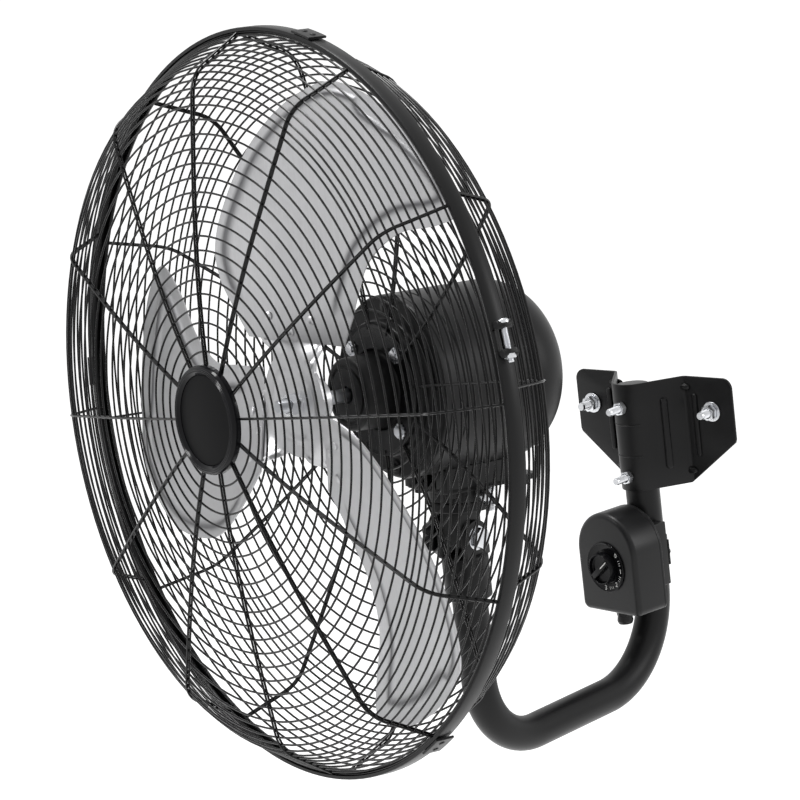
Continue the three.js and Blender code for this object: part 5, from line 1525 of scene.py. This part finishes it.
def edge_distance(spot, rows):
    """Distance from a point of the sheet to the nearest of the edges."""
    best = 1.0
    for row in rows:
        for a, b in zip(row, row[1:]):
            span = b - a
            share = min(max((spot - a).dot(span) / max(span.length_squared, 1e-12), 0), 1)
            best = min(best, (spot - a - span * share).length)
    return best


def blade_shape(sizes):
    """The blade's sheet with its pressed bead and drawn edge, and its two faces closed at the rim; the bead's
    profile is also stored per vertex for the painted shade in the bead.
    """
    steps, across = 84, 72
    heel = blade_edge(HEEL_EDGE, steps)
    nose = blade_edge(NOSE_EDGE, steps)
    rim = [heel, nose, [heel[-1], nose[-1]]]
    shapes = []
    lifts = {}
    for face in (-1, 1):
        bm = bmesh.new()
        bmesh.ops.create_grid(bm, x_segments=steps, y_segments=across, size=1)
        # painted shade: the bead's profile, which the blade material reads to darken the colour in the bead
        marks = bm.verts.layers.float.new("pressed")
        for vert in bm.verts:
            i = round((vert.co.x + 1) / 2 * steps)
            k = round((vert.co.y + 1) / 2 * across)
            spot = heel[i].lerp(nose[i], k / across)
            if (i, k) not in lifts:
                inset = min(edge_distance(spot, rim[1:]), edge_distance(spot, rim[:1]) + HEEL_CLOSER)
                bead = math.exp(-(((inset - sizes.bead_inset) / sizes.bead_width) ** 2))
                drawn = max(1 - inset / sizes.bead_inset, 0) ** 1.5
                fade = min(max((spot.x - 84 * MM) / (14 * MM), 0), 1)
                lifts[i, k] = -(sizes.bead_height * bead + sizes.flange_lift * drawn) * fade, bead * fade
            lift, vert[marks] = lifts[i, k]
            vert.co = sheet_point(spot.x, spot.y, lift + face * BLADE_T / 2)
        shapes.append(bm)
    whole = joined(*shapes)
    bmesh.ops.bridge_loops(whole, edges=[edge for edge in whole.edges if edge.is_boundary])
    return whole


def hub_reach(angle):
    """The spider's outline: three round-cornered arms that grow out of a round plate."""
    third = FULL_TURN / BLADES
    lean = abs((angle + third / 2) % third - third / 2)
    side = SPIDER_HALF / max(math.sin(lean), 1e-6)
    end = SPIDER_REACH / math.cos(lean)
    corner = 14 * MM
    arm = min(side, end)
    corner_x, corner_z = SPIDER_HALF - corner, SPIDER_REACH - corner
    near = (corner_x * math.sin(lean) + corner_z * math.cos(lean))
    inside = near**2 - corner_x**2 - corner_z**2 + corner**2
    if inside > 0:
        round_end = near + math.sqrt(inside)
        tangent_low = math.atan2(corner_x, SPIDER_REACH)
        tangent_high = math.atan2(SPIDER_HALF, corner_z)
        if tangent_low < lean < tangent_high:
            arm = round_end
    return max(arm, SPIDER_R)


def on_arm(point):
    """Takes a point of the flat spider to its pitched arms."""
    angle = math.atan2(point.x, point.z)
    third = FULL_TURN / BLADES
    number = round(angle / third)
    turn = Matrix.Rotation(number * third, 3, "Y")
    flat = turn.inverted() @ point
    return turn @ sheet_point(flat.z, flat.x, flat.y)


def spider_shape():
    shares = [k / 20 for k in range(21)]
    bore = SHAFT_R + 0.4 * MM

    def ring(share, face):
        def at(angle):
            radius = bore + (hub_reach(angle) - bore) * share
            pressed = 1.3 * MM * math.exp(-(((radius - 31 * MM) / (2.6 * MM)) ** 2))
            border = hub_reach(angle) - radius
            if radius > SPIDER_R:
                pressed += 0.9 * MM * math.exp(-(((border - 7 * MM) / (2 * MM)) ** 2))
            return radius, ARM_OFFSET + face * SPIDER_T / 2 - pressed
        return at

    rings = [ring(share, -1) for share in shares] + [ring(share, 1) for share in reversed(shares)]
    bm = stacked([*rings, rings[0]], 216)
    for vert in bm.verts:
        vert.co = on_arm(vert.co)
    return bm


def on_sheet(reach, chord):
    """A place on the blade's front face, -Y square to the sheet."""
    base = sheet_point(reach, chord, -BLADE_T / 2)
    out = (sheet_point(reach, chord, 1 * MM) - sheet_point(reach, chord, 0)).normalized()
    return place_at(base, -out, Vector((0, 0, 1)) - out * out.z)


class FAN_OT_wheel(bpy.types.Operator):
    """Makes the blade wheel: spider, rivets, three blades, hub nut and shaft"""

    bl_idname = "fan.wheel"
    bl_label = "Blade wheel"

    def execute(self, context):
        turns = [BLADE_TURN + 360 * number / BLADES for number in range(BLADES)]
        for number, turn in enumerate(turns, 1):
            sheet = blade_shape(context.scene.fan_blade)
            piece(f"blade_sheet_{number}", sheet, ROTOR @ turned(turn), "rotor", "blade_aluminium",
                  [f"blade_{number}"], angle=50)
        shapes = [(spider_shape(), turned(BLADE_TURN))]
        bore = SHAFT_R + 0.4 * MM
        boss = [(bore, ARM_OFFSET), (SPIDER_BOSS_R, ARM_OFFSET), (SPIDER_BOSS_R, ARM_OFFSET + SPIDER_BOSS_L),
                (bore, ARM_OFFSET + SPIDER_BOSS_L)]
        shapes.append(spun(rounded(boss, 1 * MM, 4), 64, closed=True))
        face = ARM_OFFSET - SPIDER_T / 2
        collar = [(bore, face + 0.2 * MM), (14 * MM, face + 0.2 * MM), (14 * MM, face - 0.2 * MM),
                  (bore, face - 0.2 * MM)]
        shapes.append(spun(collar, 48, closed=True))
        for turn in turns:
            for reach, chord in RIVETS:
                rivet = dome_head(4 * MM, 2 * MM, 2 * MM, 3 * MM)
                shapes.append((rivet, turned(turn) @ on_sheet(reach, chord)))
        piece("spider_plate", joined(*shapes), ROTOR, "rotor", "blade_aluminium", ["spider_hub"])
        seat = face - TOUCH
        piece("shaft_nut", hexagon(18 * MM, 12.6 * MM, 8 * MM), ROTOR @ along_y(seat) @ turned(13), "rotor",
              "zinc_plate", ["hub_nut"])
        self.shaft()
        return {"FINISHED"}

    def shaft(self):
        nose = -16 * MM
        thread_end = 2 * MM
        pitch = 1.5 * MM
        outline = [(0, nose), (SHAFT_R - 1 * MM, nose)]
        y = nose + 0.8 * MM
        while y < thread_end:
            outline += [(SHAFT_R, y), (SHAFT_R, y + 0.15 * MM), (SHAFT_R - 0.75 * MM, y + pitch / 2)]
            y += pitch
        rear = BAND_TO_PIVOT - HUB_BEHIND_BAND + BELL_FRONT + 107 * MM - TOUCH
        outline += [(SHAFT_R, y), (SHAFT_R, rear - MM), (SHAFT_R - MM, rear), (0, rear)]
        piece("shaft_rod", spun(outline, 40), ROTOR, "rotor", "machined_steel", ["motor_shaft"])


# ---- what stays as it comes from the frame -------------------------------------------------------
KEPT = {
    "stator_core": "laminated_steel",
    "rotor_core": "laminated_steel",
    "winding_head_front": "copper_winding",
    "winding_head_rear": "copper_winding",
    "bearing_bracket": "machined_steel",
    "bearing_front": "machined_steel",
    "bearing_rear": "machined_steel",
    "switch_shaft": "machined_steel",
    "run_capacitor": "pale_plastic",
    "rotary_switch": "pale_plastic",
}


class FAN_OT_inner_parts(bpy.types.Operator):
    """Gives the pieces inside the motor and the switch box their finishes"""

    bl_idname = "fan.inner_parts"
    bl_label = "Inner parts"

    def execute(self, context):
        for name, slot in KEPT.items():
            part = frame["nodes"][name]
            part.data.materials.clear()
            part.data.materials.append(paints[slot])
        return {"FINISHED"}


# ---- studio --------------------------------------------------------------------------------------
VIEW_AZIMUTH = 42.2
VIEW_ELEVATION = 12.5
VIEW_ROLL = 6.6
VIEW_DISTANCE = 3.5
VIEW_LENS = 175.8
VIEW_SIDE = -0.101
VIEW_RISE = 0.0667
VIEW_DEPTH = -0.2
FLOOR_Z = -1.1
FLOOR_LIFT = 0.62  # what the view adds to the floor's own brightness, up to white


def view_axes():
    azimuth, elevation = math.radians(VIEW_AZIMUTH), math.radians(VIEW_ELEVATION)
    back = Vector((
        math.sin(azimuth) * math.cos(elevation), -math.cos(azimuth) * math.cos(elevation), math.sin(elevation)
    ))
    right = Vector((math.cos(azimuth), math.sin(azimuth), 0))
    return right, back.cross(right), back


def seen_by_eye(tree):
    """One where a surface is seen directly, in a reflection or through glass."""
    rays = node(tree, "ShaderNodeLightPath")
    value = rays.outputs["Is Camera Ray"]
    for name in ("Is Glossy Ray", "Is Transmission Ray"):
        either = node(tree, "ShaderNodeMath", operation="MAXIMUM")
        tree.links.new(value, either.inputs[0])
        tree.links.new(rays.outputs[name], either.inputs[1])
        value = either.outputs["Value"]
    return value


def lamp(name, side, rise, toward, size, power):
    """A soft square lamp, placed to the side of, above and in front of the object as the camera sees it."""
    right, _, back = view_axes()
    centre = Vector((0, -0.28, 0.08))
    spot = centre + right * side + Vector((0, 0, rise)) + back * toward
    data = bpy.data.lights.new(name, "AREA")
    data.shape = "RECTANGLE"
    data.size, data.size_y = size
    data.energy = power
    made = bpy.data.objects.new(name, data)
    made.location = spot
    made.rotation_mode = "QUATERNION"
    made.rotation_quaternion = (centre - spot).to_track_quat("-Z", "Y")
    bpy.context.collection.objects.link(made)


class FAN_OT_studio(bpy.types.Operator):
    """Makes the floor, the surroundings, the lamps and the camera"""

    bl_idname = "fan.studio"
    bl_label = "Studio"

    def execute(self, context):
        settings = context.scene.fan_studio
        self.floor(settings)
        self.surroundings(settings)
        lamp("key_lamp", -2.2, 1.5, 0.9, (0.45, 0.9), settings.key)
        lamp("top_lamp", -0.4, 2.4, -0.6, (0.9, 0.5), settings.top)
        lamp("side_lamp", 2.4, 0.6, 0.6, (0.25, 1.2), settings.side)
        self.camera(context)
        context.scene.view_settings.view_transform = "Standard"
        return {"FINISHED"}

    def floor(self, settings):
        bm = bmesh.new()
        under = Matrix.Translation((0, 0, FLOOR_Z))
        bmesh.ops.create_grid(bm, x_segments=2, y_segments=2, size=30, matrix=under)
        mesh = bpy.data.meshes.new("floor")
        bm.to_mesh(mesh)
        bm.free()
        tree, shader = new_material("floor_paint", specular=0.0)
        speckle = node(tree, "ShaderNodeTexNoise")
        speckle.inputs["Scale"].default_value = 3
        tint = tinted(tree, settings.floor, speckle.outputs["Fac"], 0.004)
        tree.links.new(tint, shader.inputs["Base Color"])
        shader.inputs["Roughness"].default_value = 1
        shader.inputs["Emission Color"].default_value = (1, 1, 1, 1)
        lift = node(tree, "ShaderNodeMath", operation="MULTIPLY")
        lift.inputs[1].default_value = FLOOR_LIFT
        tree.links.new(seen_by_eye(tree), lift.inputs[0])
        tree.links.new(lift.outputs["Value"], shader.inputs["Emission Strength"])
        mesh.materials.append(paints["floor_paint"])
        made = bpy.data.objects.new("floor", mesh)
        bpy.context.collection.objects.link(made)

    def surroundings(self, settings):
        world = bpy.data.worlds.new("surroundings")
        bpy.context.scene.world = world
        world.use_nodes = True
        tree = world.node_tree
        tree.nodes.clear()
        level = node(tree, "ShaderNodeMix", data_type="FLOAT")
        sky = node(tree, "ShaderNodeBackground")
        out = node(tree, "ShaderNodeOutputWorld")
        link = tree.links.new
        link(seen_by_eye(tree), level.inputs["Factor"])
        level.inputs["A"].default_value = settings.daylight
        level.inputs["B"].default_value = 1.0
        link(level.outputs["Result"], sky.inputs["Strength"])
        link(sky.outputs["Background"], out.inputs["Surface"])
        sky.inputs["Color"].default_value = (1, 1, 1, 1)

    def camera(self, context):
        right, up, back = view_axes()
        target = right * VIEW_SIDE + Vector((0, VIEW_DEPTH, VIEW_RISE))
        roll = math.radians(VIEW_ROLL)
        x_axis = right * math.cos(roll) - up * math.sin(roll)
        y_axis = right * math.sin(roll) + up * math.cos(roll)
        data = bpy.data.cameras.new("camera")
        data.lens = VIEW_LENS
        data.sensor_width = 36
        data.clip_start, data.clip_end = 0.1, 100
        made = bpy.data.objects.new("camera", data)
        turn = Matrix((x_axis, y_axis, back)).transposed().to_4x4()
        made.matrix_world = Matrix.Translation(target + back * VIEW_DISTANCE) @ turn
        bpy.context.collection.objects.link(made)
        context.scene.camera = made


class FAN_PT_panel(bpy.types.Panel):
    """Lists the fan's pieces in the sidebar"""

    bl_label = "Wall mounted fan"
    bl_idname = "FAN_PT_panel"
    bl_space_type = "VIEW_3D"
    bl_region_type = "UI"
    bl_category = "Fan"

    def draw(self, context):
        for group in ("fan_guard", "fan_blade", "fan_colours", "fan_studio"):
            box = self.layout.box()
            values = getattr(context.scene, group)
            for name in values.__annotations__:
                box.prop(values, name)
        for operator in OPERATORS:
            self.layout.operator(operator.bl_idname)


GROUPS = {
    "fan_guard": GuardSizes,
    "fan_blade": BladeSizes,
    "fan_colours": CoatColours,
    "fan_studio": StudioSettings,
}
OPERATORS = (
    FAN_OT_finishes, FAN_OT_studio, FAN_OT_bracket, FAN_OT_fasteners, FAN_OT_arm, FAN_OT_switch_box,
    FAN_OT_dial, FAN_OT_head_joint, FAN_OT_motor, FAN_OT_guards, FAN_OT_band, FAN_OT_cap, FAN_OT_wheel,
    FAN_OT_inner_parts,
)


def register():
    for name, group in GROUPS.items():
        bpy.utils.register_class(group)
        setattr(bpy.types.Scene, name, PointerProperty(type=group))
    for operator in OPERATORS:
        bpy.utils.register_class(operator)
    bpy.utils.register_class(FAN_PT_panel)


def unregister():
    bpy.utils.unregister_class(FAN_PT_panel)
    for operator in reversed(OPERATORS):
        bpy.utils.unregister_class(operator)
    for name, group in reversed(GROUPS.items()):
        delattr(bpy.types.Scene, name)
        bpy.utils.unregister_class(group)


def main():
    register()
    for operator in OPERATORS:
        family, name = operator.bl_idname.split(".")
        getattr(getattr(bpy.ops, family), name)()


if __name__ == "__main__":
    main()
